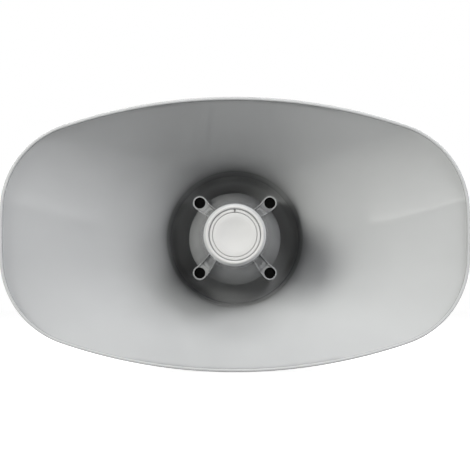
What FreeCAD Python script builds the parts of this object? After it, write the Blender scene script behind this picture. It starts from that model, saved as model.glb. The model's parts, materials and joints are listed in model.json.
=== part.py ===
import FreeCAD, Part
import math
import os

# Oblong-mouth reflex horn loudspeaker on a steel U bracket, in millimetres.
# X runs across the mouth, Z is up, and the horn looks along -Y.
# The origin is the middle hole of the bracket's foot, on its underside.
# A depth is measured back from the plane of the mouth, along the horn's axis.

# Flare
mouth_width = 490.0
mouth_height = 286.4
mouth_corner_radius = 95.0
crown_angle = 18.7
flank_angle = 2.9
lip_thickness = 3.2
lip_depth = 6.0
lip_rounding = 1.3
flare_sections = 9
flare_turn = 0.42
flare_wall_back = 2.0
flare_wall_out = 2.2
neck_radius = 76.0
neck_depth = 154.0
neck_arc_angle = 22.5
neck_taper = 3.0
floor_depth = 188.0
floor_thickness = 4.0
floor_rounding = 9.0
neck_flange_length = 6.0

# Reflex cup
cup_nose_depth = 20.0
cup_shoulder_radius = 33.0
cup_crest_radius = 29.3
cup_waist_radius = 38.5
cup_waist_setback = 55.0
cup_rim_radius = 51.6
cup_rim_gap = 38.0
cup_wall = 2.6
cup_nose_thickness = 3.0
cup_deflector_height = 12.0
cap_recess_radius = 27.4
cap_recess_depth = 6.0

# Lugs and their screws
lug_offset = 3.4
lug_radius = 7.7
lug_wall = 1.45
lug_setback = 30.0
lug_root_half_width = 4.9
lug_screw_seat = 12.0
screw_radius = 2.45
screw_thread_gap = 0.05
screw_hole_radius = 2.6
screw_head_radius = 4.5
screw_head_height = 3.2
washer_radius = 5.4
washer_thickness = 1.0
cup_screw_grip = 12.0
plug_gap = 0.05
plug_sink = 2.2
plug_length = 7.0
plug_dish = 0.8

# Cap ring and disc
cap_gap = 0.25
cap_ring_inner = 23.7
cap_ring_floor = 2.0
cap_sink = 0.6
disc_gap = 0.35
disc_thickness = 3.0
dish_radius = 17.0
dish_depth = 1.6
notch_width = 3.2

# Tone guide
throat_radius = 12.7
guide_mouth_radius = 20.0
guide_mouth_depth = 62.0
guide_wall = 2.2
guide_collar_radius = 22.0
guide_flange_radius = 40.0
guide_flange_thickness = 3.0

# Gaskets
flare_gasket_thickness = 1.5
throat_gasket_thickness = 1.0
slip_gap = 0.3

# Pivot housing
housing_step = 1.0
housing_wall = 3.5
housing_plate = 6.0
housing_length = 70.0
pivot_setback = 22.0
ear_radius = 20.0
ear_stand = 11.0
ear_sink = 11.0
ear_rib_thickness = 4.0
ear_rib_reach = 34.0
housing_boss_radius = 6.5
housing_boss_length = 13.0
seam_rounding = 0.8

# Driver
driver_front_radius = 46.0
driver_front_length = 22.0
driver_throat_exit = 15.0
driver_ear_circle = 51.0
driver_ear_radius = 5.5
driver_ear_thickness = 5.0
driver_screw_grip = 4.0
terminal_flat_width = 26.0
terminal_flat_depth = 5.0
terminal_board_width = 20.0
terminal_board_length = 8.0
terminal_board_thickness = 3.0
phase_plug_radius = 14.0
phase_plug_length = 9.5
phase_slot = 0.9
phase_rib_thickness = 2.0
phase_rib_length = 2.5
phase_rib_root = 6.0
dome_radius = 19.0
dome_height = 7.5
dome_thickness = 0.5
surround_outer = 28.0
surround_thickness = 0.4
clamp_ring_outer = 36.0
clamp_ring_height = 2.0
coil_length = 9.0
coil_thickness = 0.7
plate_radius = 45.0
top_plate_thickness = 6.0
magnet_length = 16.0
magnet_hole = 25.0
yoke_thickness = 6.0
pole_radius = 18.2
magnetic_gap = 2.2
motor_screw_circle = 40.0

# Rear cover
cover_length = 60.0
cover_wall = 3.0
cover_dome_radius = 20.0
cover_screw_inset = 11.0
cover_screw_seat = 10.0
cover_screw_grip = 17.0
cover_boss_radius = 8.5
cover_boss_length = 26.0
seal_width = 1.6
seal_depth = 1.2
recess_radius = 19.0
recess_depth = 9.0
selector_drop = 34.0

# Transformer
core_width = 50.0
core_length = 42.0
core_stack = 20.0
core_rise = 21.0
window_width = 8.5
window_length = 25.0
limb_width = 16.0
winding_build = 7.0
frame_sheet = 1.0
frame_foot = 11.0
frame_boss_height = 9.0

# Tap switch
switch_radius = 13.0
switch_length = 14.0
bushing_radius = 4.7
bushing_hex = 13.0
bushing_nut_height = 2.0
spindle_radius = 3.0
knob_radius = 11.0
knob_height = 9.5
knob_flutes = 12

# Cable gland
gland_setback = 26.0
gland_thread_radius = 8.0
gland_bore_radius = 4.0
gland_hex = 20.0
gland_hex_height = 5.0
gland_nut_length = 13.0
gland_pad_margin = 4.0
gland_locknut_height = 4.5

# Bracket and pivots
rim_gap = 0.8
strap_width = 40.0
strap_thickness = 4.0
strap_bend_radius = 12.0
foot_hole_radius = 5.5
slot_radius = 4.5
slot_length = 16.0
slot_spacing = 110.0
pivot_radius = 4.0
pivot_gap = 0.08
face_gap = 0.1
pad_radius = 18.5
pad_thickness = 1.5
pivot_washer_radius = 8.5
pivot_washer_thickness = 1.6
lock_washer_radius = 7.0
lock_washer_thickness = 2.0
bolt_hex = 13.0
bolt_head_height = 5.3
bolt_grip = 14.0
insert_radius = 6.5
insert_length = 16.0

# Places that follow from the sizes
lug_circle_radius = cup_rim_radius + lug_offset
cup_rim_depth = floor_depth - cup_rim_gap
cup_waist_depth = cup_rim_depth - cup_waist_setback
lug_depth = cup_rim_depth - lug_setback
tapped_radius = screw_radius + screw_thread_gap
housing_radius = neck_radius + housing_step
ear_reach = housing_radius + ear_stand
ear_root = housing_radius - ear_sink
cover_screw_circle = housing_radius - cover_screw_inset
floor_rear = floor_depth + floor_thickness
housing_front = floor_rear + flare_gasket_thickness
guide_rear = floor_rear + guide_flange_thickness
housing_plate_rear = housing_front + housing_plate
housing_rear = housing_front + housing_length
driver_start = housing_plate_rear + throat_gasket_thickness
plate_front = driver_start + driver_front_length
plate_rear = plate_front + top_plate_thickness
magnet_rear = plate_rear + magnet_length
yoke_rear = magnet_rear + yoke_thickness
dome_seat = plate_front - clamp_ring_height
cover_rear = housing_rear + cover_length
panel_rear = cover_rear - recess_depth
panel_front = panel_rear - cover_wall
frame_seat = cover_rear - cover_wall - frame_boss_height
pivot_depth = housing_front + pivot_setback
axis_height = mouth_height / 2 + rim_gap
lug_seat = floor_depth - lug_screw_seat
cap_recess_floor = cup_nose_depth + cap_recess_depth
cup_cavity_front = cap_recess_floor + cup_nose_thickness
pad_face = ear_reach + pad_thickness
strap_inner = pad_face + face_gap
strap_outer = strap_inner + strap_thickness
gland_depth = cover_rear - gland_setback
gland_seat = housing_radius + 1.5
gland_inner_seat = housing_radius - 2 * cover_wall

X_AXIS = FreeCAD.Vector(1, 0, 0)
Y_AXIS = FreeCAD.Vector(0, 1, 0)
Z_AXIS = FreeCAD.Vector(0, 0, 1)
EAST_TO_SOUTH = (0, 90, 180, 270)
DIAGONALS = (45, 135, 225, 315)


def place(x, depth, rise):
    # A point by its offset from the horn's axis and its depth.
    return FreeCAD.Vector(x, depth - pivot_depth, axis_height + rise)


def rod(radius, start, end, x=0.0, rise=0.0):
    # A round bar along the horn's axis, between two depths.
    return Part.makeCylinder(radius, end - start, place(x, start, rise), Y_AXIS)


def ring(outer, inner, start, end, x=0.0, rise=0.0):
    return rod(outer, start, end, x, rise).cut(rod(inner, start - 1, end + 1, x, rise))


def side_rod(side, radius, start, end):
    # A round bar along the tilt pivot, between two distances from the middle.
    return Part.makeCylinder(radius, end - start, place(side * start, pivot_depth, 0), X_AXIS * side)


def side_ring(side, outer, inner, start, end):
    return side_rod(side, outer, start, end).cut(side_rod(side, inner, start - 1, end + 1))


def block(width, length, height, x, start, rise):
    # A block centred on x and rise, from a depth backwards.
    corner = place(x - width / 2, start, rise - height / 2)
    return Part.makeBox(width, length, height, corner)


def around(shape, degrees):
    # A copy of a shape, turned about the horn's axis.
    copy = shape.copy()
    copy.rotate(place(0, 0, 0), Y_AXIS, degrees)
    return copy


def merged(shapes):
    return shapes[0].fuse(shapes[1:]) if len(shapes) > 1 else shapes[0]


def rounded_face(corners):
    # A flat face in the plane z = 0 from corners (x, y, rounding), with arcs at the rounded ones.
    edges = []
    count = len(corners)
    ends = []
    for number, (x, y, rounding) in enumerate(corners):
        here = FreeCAD.Vector(x, y, 0)
        if rounding == 0:
            ends.append((here, here, here))
            continue
        before = FreeCAD.Vector(*corners[number - 1][:2], 0) - here
        after = FreeCAD.Vector(*corners[(number + 1) % count][:2], 0) - here
        before.normalize()
        after.normalize()
        half = before.getAngle(after) / 2
        reach = rounding / math.tan(half)
        inward = before + after
        inward.normalize()
        middle = here + inward * (rounding / math.sin(half) - rounding)
        ends.append((here + before * reach, middle, here + after * reach))
    for number, (start, middle, end) in enumerate(ends):
        if start.distanceToPoint(end) > 1e-6:
            edges.append(Part.Arc(start, middle, end).toShape())
        following = ends[(number + 1) % count][0]
        if end.distanceToPoint(following) > 1e-6:
            edges.append(Part.LineSegment(end, following).toShape())
    return Part.Face(Part.Wire(edges))


def turned(corners):
    # A body of revolution about the horn's axis from corners (radius, depth, rounding).
    solid = rounded_face(corners).revolve(FreeCAD.Vector(0, 0, 0), Y_AXIS, 360)
    solid.translate(place(0, 0, 0))
    return solid


def hexagon(across_flats, start, end, axis, base):
    # A hexagonal bar from a base point along an axis.
    reach = across_flats / 2 / math.cos(math.pi / 6)
    bar = Part.Face(Part.makePolygon([
        FreeCAD.Vector(reach * math.cos(math.radians(a)), reach * math.sin(math.radians(a)), 0)
        for a in range(0, 361, 60)
    ])).extrude(FreeCAD.Vector(0, 0, end - start))
    bar.Placement = FreeCAD.Placement(base + axis * start, FreeCAD.Rotation(Z_AXIS, axis))
    return bar


def screws_on_circle(radius, angles, head_start, tip, hex_head=False):
    # Pan-head screws on a circle about the horn's axis, driven from the front.
    way = 1 if tip > head_start else -1
    seat = head_start + way * screw_head_height
    head = rod(screw_head_radius, min(head_start, seat), max(head_start, seat), radius)
    front = head_start - pivot_depth
    rims = [e for e in head.Edges if abs(e.CenterOfMass.y - front) < 0.01 and len(e.Vertexes) == 1]
    head = head.makeFillet(0.9, rims)
    slot = block(1.1, 1.4, 5.2, radius, min(head_start, head_start + way * 1.4), 0)
    cross = slot.fuse(block(5.2, 1.4, 1.1, radius, min(head_start, head_start + way * 1.4), 0))
    shank = rod(screw_radius, min(seat, tip), max(seat, tip), radius)
    screw = head.cut(cross).fuse(shank)
    return Part.makeCompound([around(screw, angle) for angle in angles])


def outline(half_width, half_height, corner, crown, flank, depth):
    # An oblong outline of eight arcs that meet smoothly: two flanks, a crown, a base and four corners.
    crown, flank = math.radians(crown), math.radians(flank)
    a, b = math.sin(crown), 1 - math.cos(flank)
    c, d = 1 - math.cos(crown), math.sin(flank)
    across = half_width + corner * (math.sin(crown) - math.cos(flank))
    upward = half_height - corner * (math.cos(crown) - math.sin(flank))
    spread = a * d - b * c
    crown_radius = (across * d - b * upward) / spread
    flank_radius = (a * upward - across * c) / spread
    flank_end = (half_width - flank_radius * (1 - math.cos(flank)), flank_radius * math.sin(flank))
    crown_end = (crown_radius * math.sin(crown), half_height - crown_radius * (1 - math.cos(crown)))
    turn = (flank + math.pi / 2 - crown) / 2
    centre = (crown_end[0] - corner * math.sin(crown), crown_end[1] - corner * math.cos(crown))
    bend = (centre[0] + corner * math.cos(turn), centre[1] + corner * math.sin(turn))
    quarter = [(half_width, 0.0), flank_end, bend, crown_end]
    points = quarter + [(0.0, half_height)] + [(-x, z) for x, z in reversed(quarter)]
    points += [(x, -z) for x, z in reversed(points[1:-1])]
    points = [place(x, depth, z) for x, z in points]
    count = len(points)
    arcs = [
        Part.Arc(points[n - 1], points[n], points[(n + 1) % count]).toShape() for n in range(0, count, 2)
    ]
    return Part.Wire(arcs)


def flare_spread(share):
    # How much of the bell's spread is left at a share of its depth: straight walls that turn into the neck.
    steepness = 1 / (1 - flare_turn / 2)
    left = 1 - share
    if left > flare_turn:
        return 1 - steepness * share
    return steepness * left ** 2 / (2 * flare_turn)


def flare_outline(share, shift, grow):
    # The bell's outline at a share of the way from lip to neck, moved back and grown for the outer skin.
    inner_width = mouth_width / 2 - lip_thickness
    inner_height = mouth_height / 2 - lip_thickness
    spread = flare_spread(share)
    half_width = neck_radius + (inner_width - neck_radius) * spread
    half_height = neck_radius + (inner_height - neck_radius) * spread
    mouth_fullness = (mouth_corner_radius - lip_thickness) / inner_height
    corner = half_height * (mouth_fullness + (1 - mouth_fullness) * share)
    crown = crown_angle + (neck_arc_angle - crown_angle) * share
    flank = flank_angle + (neck_arc_angle - flank_angle) * share
    depth = lip_depth + (neck_depth - lip_depth) * share
    return outline(half_width + grow, half_height + grow, corner + grow, crown, flank, depth + shift)


def flare_skin(shift, grow):
    shares = [n / (flare_sections - 1) for n in range(flare_sections)]
    return Part.makeLoft([flare_outline(share, shift, grow) for share in shares], True)


def lip_band(inset, start, end):
    wire = outline(
        mouth_width / 2 - inset, mouth_height / 2 - inset, mouth_corner_radius - inset,
        crown_angle, flank_angle, start,
    )
    return Part.Face(wire).extrude(FreeCAD.Vector(0, end - start, 0))


def horn_flare():
    # The bell, its lip, the round neck and the floor, moulded as one shell.
    outer_start = lip_depth + flare_wall_back
    neck_outer = neck_radius + flare_wall_out
    neck_outside = turned([
        (0, neck_depth + flare_wall_back, 0),
        (neck_outer, neck_depth + flare_wall_back, 0),
        (neck_outer - neck_taper / 2, floor_rear - neck_flange_length, 0),
        (housing_radius, floor_rear - neck_flange_length, 0),
        (housing_radius, floor_rear, seam_rounding),
        (0, floor_rear, 0),
    ])
    neck_inside = turned([
        (0, neck_depth, 0),
        (neck_radius, neck_depth, 0),
        (neck_radius - neck_taper, floor_depth, floor_rounding),
        (0, floor_depth, 0),
    ])
    body = merged([lip_band(0, 0, outer_start), flare_skin(flare_wall_back, flare_wall_out), neck_outside])
    hollow = merged([lip_band(lip_thickness, -1, lip_depth), flare_skin(0, 0), neck_inside])
    shell = body.cut(hollow)
    front_edges = [e for e in shell.Edges if abs(e.BoundBox.YMax + pivot_depth) < 0.001]
    shell = shell.makeFillet(lip_rounding, front_edges)
    holes = [rod(guide_collar_radius + slip_gap, floor_depth - 1, floor_rear + 1)]
    screw_hole = rod(screw_hole_radius, floor_depth - 1, floor_rear + 1, lug_circle_radius)
    holes += [around(screw_hole, angle) for angle in DIAGONALS]
    return shell.cut(holes)


def cup_outside():
    # The outside of the cup wall: a rounded nose and a side that opens like a bell.
    nose = FreeCAD.Vector(cup_crest_radius, cup_nose_depth, 0)
    shoulder = FreeCAD.Vector(cup_shoulder_radius, cup_nose_depth + cap_recess_depth, 0)
    quarter = FreeCAD.Vector(
        cup_crest_radius + (cup_shoulder_radius - cup_crest_radius) * 0.75,
        cup_nose_depth + cap_recess_depth * 0.3, 0)
    waist = FreeCAD.Vector(cup_waist_radius, cup_waist_depth, 0)
    rim = FreeCAD.Vector(cup_rim_radius, cup_rim_depth, 0)
    front, back = FreeCAD.Vector(0, cup_nose_depth, 0), FreeCAD.Vector(0, cup_rim_depth, 0)
    wire = Part.Wire([
        Part.LineSegment(front, nose).toShape(),
        Part.Arc(nose, quarter, shoulder).toShape(),
        Part.Arc(shoulder, waist, rim).toShape(),
        Part.LineSegment(rim, back).toShape(),
        Part.LineSegment(back, front).toShape(),
    ])
    solid = Part.Face(wire).revolve(FreeCAD.Vector(0, 0, 0), Y_AXIS, 360)
    solid.translate(place(0, 0, 0))
    return solid


def cup_inside():
    # The cup's cavity, with a deflector cone left standing behind the nose.
    shoulder = FreeCAD.Vector(cup_shoulder_radius - cup_wall, cup_cavity_front, 0)
    waist = FreeCAD.Vector(cup_waist_radius - cup_wall, cup_waist_depth, 0)
    rim = FreeCAD.Vector(cup_rim_radius - cup_wall, cup_rim_depth + 0.01, 0)
    foot = FreeCAD.Vector(cup_deflector_height, cup_cavity_front, 0)
    tip = FreeCAD.Vector(0, cup_cavity_front + cup_deflector_height, 0)
    back = FreeCAD.Vector(0, cup_rim_depth + 0.01, 0)
    wire = Part.Wire([
        Part.LineSegment(tip, foot).toShape(),
        Part.LineSegment(foot, shoulder).toShape(),
        Part.Arc(shoulder, waist, rim).toShape(),
        Part.LineSegment(rim, back).toShape(),
        Part.LineSegment(back, tip).toShape(),
    ])
    solid = Part.Face(wire).revolve(FreeCAD.Vector(0, 0, 0), Y_AXIS, 360)
    solid.translate(place(0, 0, 0))
    return solid


def lug_prism(inset, start, end):
    # A keyhole-shaped bar: the round lug and the two webs that narrow towards the nose.
    radius = lug_radius - inset
    root = lug_root_half_width - inset
    run = lug_circle_radius - cap_recess_radius
    lean = math.asin((radius - root) / run)
    touch_x = lug_circle_radius - radius * math.sin(lean)
    touch_z = radius * math.cos(lean)
    web_face = Part.Face(Part.makePolygon([
        place(cap_recess_radius, start, -root), place(touch_x, start, -touch_z),
        place(touch_x, start, touch_z), place(cap_recess_radius, start, root),
        place(cap_recess_radius, start, -root),
    ]))
    web = web_face.extrude(FreeCAD.Vector(0, end - start, 0))
    return web.fuse(rod(radius, start, end, lug_circle_radius))


def reflex_cup():
    # The cup with four deep screw lugs that run back to the floor of the flare.
    outside = cup_outside()
    inside = cup_inside()
    web_limit = turned([
        (cap_recess_radius, cup_nose_depth + cap_recess_depth, 0),
        (cup_shoulder_radius, cup_nose_depth + cap_recess_depth, 0),
        (lug_circle_radius - lug_radius, lug_depth, 0),
        (lug_circle_radius + lug_radius + 1, lug_depth, 0),
        (lug_circle_radius + lug_radius + 1, cup_rim_depth, 0),
        (cap_recess_radius, cup_rim_depth, 0),
    ])
    web = lug_prism(0, cup_nose_depth, cup_rim_depth).common(web_limit).cut(inside)
    tube = rod(lug_radius, lug_depth, floor_depth, lug_circle_radius)
    lugs = [around(web, angle) for angle in DIAGONALS] + [around(tube, angle) for angle in DIAGONALS]
    body = merged([outside.cut(inside)] + lugs)
    pocket = lug_prism(lug_wall, cup_nose_depth - 1, cup_rim_depth - cup_wall).cut(outside)
    bore = rod(lug_radius - lug_wall, lug_depth - 1, lug_seat, lug_circle_radius)
    screw_hole = rod(screw_hole_radius, lug_seat - 1, floor_depth + 1, lug_circle_radius)
    cuts = [around(tool, angle) for tool in (pocket, bore, screw_hole) for angle in DIAGONALS]
    cuts.append(rod(cap_recess_radius, cup_nose_depth - 1, cap_recess_floor))
    return body.cut(cuts)


def cap_notch(outer, inner, start, end):
    # The small V at the top of the cap that keys the disc.
    face = Part.Face(Part.makePolygon([
        place(-notch_width / 2, start, outer), place(0, start, inner),
        place(notch_width / 2, start, outer), place(-notch_width / 2, start, outer),
    ]))
    return face.extrude(FreeCAD.Vector(0, end - start, 0))


def cap_ring():
    # A shallow tray that plugs the nose of the cup, with a crowned rim.
    front = cup_nose_depth + cap_sink
    body = turned([
        (0, cap_recess_floor, 0),
        (cap_recess_radius - cap_gap, cap_recess_floor, 0),
        (cap_recess_radius - cap_gap, front, 1.2),
        (cap_ring_inner, front, 0.8),
        (cap_ring_inner, cap_recess_floor - cap_ring_floor, 0),
        (0, cap_recess_floor - cap_ring_floor, 0),
    ])
    floor = cap_recess_floor - cap_ring_floor
    return body.cut(cap_notch(cap_recess_radius + 1, cap_ring_inner - 1, front - 1, floor))


def front_disc():
    # The bare disc on the nose, with a shallow round dish.
    rear = cap_recess_floor - cap_ring_floor
    front = rear - disc_thickness
    radius = cap_ring_inner - disc_gap
    body = turned([(0, rear, 0), (radius, rear, 0), (radius, front, 0.7), (0, front, 0)])
    ball_radius = (dish_radius ** 2 + dish_depth ** 2) / (2 * dish_depth)
    ball = Part.makeSphere(ball_radius, place(0, front + dish_depth - ball_radius, 0))
    return body.cut(ball)


def cup_screws():
    tip = housing_plate_rear + cup_screw_grip
    return screws_on_circle(
        lug_circle_radius, DIAGONALS, lug_seat - washer_thickness - screw_head_height, tip)


def cup_screw_washers():
    washer = ring(washer_radius, screw_hole_radius, lug_seat - washer_thickness, lug_seat, lug_circle_radius)
    return Part.makeCompound([around(washer, angle) for angle in DIAGONALS])


def lug_plugs():
    # Black rubber plugs that close the four screw tunnels, each with a shallow dish.
    radius = lug_radius - lug_wall - plug_gap
    front = lug_depth + plug_sink
    plug = turned_at(lug_circle_radius, 0, [
        (0, front + plug_dish, 0), (radius - 2, front + plug_dish, 0), (radius - 1.2, front, 0.3),
        (radius, front, 0.3), (radius, front + plug_length, 0.5), (0, front + plug_length, 0),
    ])
    return Part.makeCompound([around(plug, angle) for angle in DIAGONALS])


def tone_guide():
    # The tube that carries sound forward into the cup, clamped between floor and housing by its flange.
    half = (guide_rear + guide_mouth_depth) / 2
    waist = (throat_radius + guide_mouth_radius) / 2 - 1.2
    back = FreeCAD.Vector(throat_radius, guide_rear, 0)
    middle = FreeCAD.Vector(waist, half, 0)
    front = FreeCAD.Vector(guide_mouth_radius, guide_mouth_depth, 0)
    front_outer = FreeCAD.Vector(guide_mouth_radius + guide_wall, guide_mouth_depth, 0)
    middle_outer = FreeCAD.Vector(waist + guide_wall, half, 0)
    back_outer = FreeCAD.Vector(throat_radius + guide_wall, floor_depth, 0)
    collar = [
        FreeCAD.Vector(guide_collar_radius, floor_depth, 0),
        FreeCAD.Vector(guide_collar_radius, floor_rear, 0),
        FreeCAD.Vector(guide_flange_radius, floor_rear, 0),
        FreeCAD.Vector(guide_flange_radius, guide_rear, 0),
        back,
    ]
    edges = [
        Part.Arc(back, middle, front).toShape(),
        Part.LineSegment(front, front_outer).toShape(),
        Part.Arc(front_outer, middle_outer, back_outer).toShape(),
    ]
    corners = [back_outer] + collar
    edges += [Part.LineSegment(a, b).toShape() for a, b in zip(corners, corners[1:])]
    solid = Part.Face(Part.Wire(edges)).revolve(FreeCAD.Vector(0, 0, 0), Y_AXIS, 360)
    solid.translate(place(0, 0, 0))
    return solid


def flare_gasket():
    gasket = ring(housing_radius - 1, guide_flange_radius + slip_gap, floor_rear, housing_front)
    screw_hole = rod(screw_hole_radius, floor_rear - 1, housing_front + 1, lug_circle_radius)
    return gasket.cut([around(screw_hole, angle) for angle in DIAGONALS])


def ear(side):
    # One pivot ear with its two webs, reaching out to the bracket.
    barrel = side_rod(side, ear_radius, ear_root, ear_reach)
    rib = Part.Face(Part.makePolygon([
        place(side * ear_root, pivot_depth + shift, -ear_rib_thickness / 2) if out == 0
        else place(side * (ear_reach - 2), pivot_depth + shift, -ear_rib_thickness / 2)
        for out, shift in ((0, 0), (1, 0), (1, ear_radius - 2), (0, ear_rib_reach), (0, 0))
    ])).extrude(FreeCAD.Vector(0, 0, ear_rib_thickness))
    return barrel.fuse(rib)


def pivot_housing():
    # The moulded bucket behind the flare: it holds the driver and turns on its two ears.
    inner = housing_radius - housing_wall
    shell = turned([
        (throat_radius, housing_front, 0), (housing_radius, housing_front, seam_rounding),
        (housing_radius, housing_rear, seam_rounding), (inner, housing_rear, 0),
        (inner, housing_plate_rear, 3.0), (throat_radius, housing_plate_rear, 0),
    ])
    cup_boss = rod(housing_boss_radius, housing_plate_rear - 1, housing_plate_rear + housing_boss_length,
                   lug_circle_radius)
    cover_boss = rod(cover_boss_radius, housing_rear - cover_boss_length, housing_rear, cover_screw_circle)
    cover_boss = cover_boss.common(rod(housing_radius - 1, housing_rear - cover_boss_length, housing_rear))
    parts = [shell, ear(1), ear(-1)]
    parts += [around(boss, angle) for boss in (cup_boss, cover_boss) for angle in DIAGONALS]
    body = merged(parts)
    cup_hole = rod(tapped_radius, housing_front - 1, housing_plate_rear + cup_screw_grip,
                   lug_circle_radius)
    cover_hole = rod(tapped_radius, housing_rear - cover_screw_grip - 1, housing_rear + 1,
                     cover_screw_circle)
    driver_hole = rod(tapped_radius, housing_plate_rear - driver_screw_grip, housing_plate_rear + 1,
                      driver_ear_circle)
    cuts = [around(hole, angle) for hole in (cup_hole, cover_hole) for angle in DIAGONALS]
    cuts += [around(driver_hole, angle) for angle in EAST_TO_SOUTH]
    cuts.append(rod(guide_flange_radius + slip_gap, housing_front - 1, guide_rear))
    for side in (1, -1):
        cuts.append(side_rod(side, insert_radius, ear_reach - insert_length, ear_reach + 1))
    seal_mid = housing_radius - housing_wall / 2
    cuts.append(ring(seal_mid + seal_width / 2, seal_mid - seal_width / 2, housing_rear - seal_depth,
                     housing_rear + 1))
    return body.cut(cuts)


def throat_gasket():
    gasket = ring(driver_front_radius, throat_radius, housing_plate_rear, driver_start)
    screw_head = rod(screw_hole_radius, housing_plate_rear - 1, driver_start + 1, driver_ear_circle)
    ears = [around(rod(driver_ear_radius, housing_plate_rear, driver_start, driver_ear_circle), angle)
            for angle in EAST_TO_SOUTH]
    return merged([gasket] + ears).cut([around(screw_head, angle) for angle in EAST_TO_SOUTH])


def phase_plug_seat():
    return driver_start + 3.0


def driver_front():
    # The cast front of the driver: a widening throat, four ears and a chamber for the dome.
    plug_front = phase_plug_seat()
    body = turned([
        (throat_radius, driver_start, 0), (driver_front_radius, driver_start, 0),
        (driver_front_radius, plate_front, 1.5), (clamp_ring_outer + slip_gap, plate_front, 0),
        (clamp_ring_outer + slip_gap, dome_seat, 0), (surround_outer, dome_seat, 0),
        (surround_outer - 1, dome_seat - 3, 0), (dome_radius + phase_slot, dome_seat - 3, 0),
        (phase_plug_radius + 2, plug_front + 4, 0), (driver_throat_exit, plug_front, 0),
    ])
    lobe = rod(driver_ear_radius, driver_start, driver_start + driver_ear_thickness, driver_ear_circle)
    bridge = block(driver_ear_circle - driver_front_radius + 8, driver_ear_thickness, 2 * driver_ear_radius,
                   (driver_ear_circle + driver_front_radius) / 2 - 4, driver_start, 0)
    ears = [around(part, angle) for part in (lobe, bridge) for angle in EAST_TO_SOUTH]
    ear_hole = rod(screw_hole_radius, driver_start - 1, driver_start + driver_ear_thickness + 1,
                   driver_ear_circle)
    motor_hole = rod(screw_hole_radius, driver_start, plate_front + 1, motor_screw_circle)
    motor_head = rod(screw_head_radius + slip_gap, driver_start - 1, driver_start + screw_head_height + 0.5,
                     motor_screw_circle)
    cuts = [around(ear_hole, angle) for angle in EAST_TO_SOUTH]
    cuts += [around(hole, angle) for hole in (motor_hole, motor_head) for angle in DIAGONALS]
    cuts.append(block(terminal_flat_width, driver_front_length + 2, 2 * terminal_flat_depth, 0,
                      driver_start + driver_ear_thickness, driver_front_radius - 1 + terminal_flat_depth))
    return merged([body] + ears).cut(cuts)


def driver_screws():
    head = driver_start + driver_ear_thickness + screw_head_height
    return screws_on_circle(driver_ear_circle, EAST_TO_SOUTH, head, housing_plate_rear - driver_screw_grip)


def motor_screws():
    return screws_on_circle(motor_screw_circle, DIAGONALS, driver_start + 0.5, plate_rear - 1)


def phase_plug():
    # A bullet in the throat, carried by three thin ribs in the front casting.
    start = phase_plug_seat()
    ball_radius = (dome_radius ** 2 + dome_height ** 2) / (2 * dome_height)
    ball_middle = dome_seat - dome_height + ball_radius
    bullet = turned([
        (0, start - 1.5, 0), (5, start - 1.5, 2), (phase_plug_radius - 2, start + 3, 2),
        (phase_plug_radius, start + phase_plug_length, 0), (0, start + phase_plug_length, 0),
    ])
    bullet = bullet.cut(Part.makeSphere(ball_radius + phase_slot, place(0, ball_middle, 0)))
    rib = block(driver_throat_exit - phase_rib_root, phase_rib_length, phase_rib_thickness,
                (driver_throat_exit + phase_rib_root) / 2, start, 0)
    return merged([bullet] + [around(rib, angle) for angle in (90, 210, 330)])


def diaphragm():
    # A thin dome that faces forward, with a narrow flat edge.
    ball_radius = (dome_radius ** 2 + dome_height ** 2) / (2 * dome_height)
    middle = dome_seat - dome_height + ball_radius
    shell = Part.makeSphere(ball_radius, place(0, middle, 0))
    shell = shell.cut(Part.makeSphere(ball_radius - dome_thickness, place(0, middle, 0)))
    shell = shell.common(rod(dome_radius, dome_seat - dome_height - 1, dome_seat))
    edge = ring(dome_radius + coil_thickness, dome_radius - 1.5, dome_seat, dome_seat + surround_thickness)
    return shell.fuse(edge)


def surround():
    inner = dome_radius + coil_thickness
    half = (inner + clamp_ring_outer) / 2
    flat = ring(clamp_ring_outer, surround_outer, dome_seat, dome_seat + surround_thickness)
    web = ring(surround_outer, inner, dome_seat, dome_seat + surround_thickness)
    roll_middle = (inner + surround_outer) / 2
    bead = Part.makeTorus(roll_middle, 1.6, place(0, dome_seat + 0.8, 0), Y_AXIS)
    bead = bead.cut(Part.makeTorus(roll_middle, 1.2, place(0, dome_seat + 0.8, 0), Y_AXIS))
    bead = bead.common(ring(half + 6, inner, dome_seat - 2, dome_seat + surround_thickness))
    gap = ring(roll_middle + 1.3, roll_middle - 1.3, dome_seat - 1, dome_seat + 1)
    return flat.fuse([web.cut(gap), bead])


def voice_coil():
    return ring(dome_radius + coil_thickness, dome_radius, dome_seat + surround_thickness,
                dome_seat + surround_thickness + coil_length)


def clamp_ring():
    return ring(clamp_ring_outer, surround_outer, dome_seat + surround_thickness, plate_front)


def top_plate():
    hole = pole_radius + magnetic_gap
    plate = turned([
        (hole, plate_front, 0), (plate_radius, plate_front, 0.8),
        (plate_radius, plate_rear, 0.8), (hole, plate_rear, 0),
    ])
    screw_hole = rod(tapped_radius, plate_front - 1, plate_rear + 1, motor_screw_circle)
    return plate.cut([around(screw_hole, angle) for angle in DIAGONALS])


def magnet():
    return turned([
        (magnet_hole, plate_rear, 0), (plate_radius - 1, plate_rear, 1.5),
        (plate_radius - 1, magnet_rear, 1.5), (magnet_hole, magnet_rear, 0),
    ])


def yoke():
    # The back plate and the pole that stands through the magnet.
    return turned([
        (0, plate_front + 0.5, 0), (pole_radius, plate_front + 0.5, 1.0), (pole_radius, magnet_rear, 0),
        (plate_radius, magnet_rear, 0.8), (plate_radius, yoke_rear, 3.0), (0, yoke_rear, 0),
    ])


def terminal_strip():
    # Two solder tags on a small board, on the flat at the top of the driver.
    seat = driver_front_radius - 1
    start = driver_start + driver_ear_thickness + 5
    board = block(terminal_board_width, terminal_board_length, terminal_board_thickness, 0, start,
                  seat + terminal_board_thickness / 2)
    tags = [block(3, 5, 5, x, start + 1.5, seat + 5.5) for x in (-5, 5)]
    return merged([board] + tags)


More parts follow.
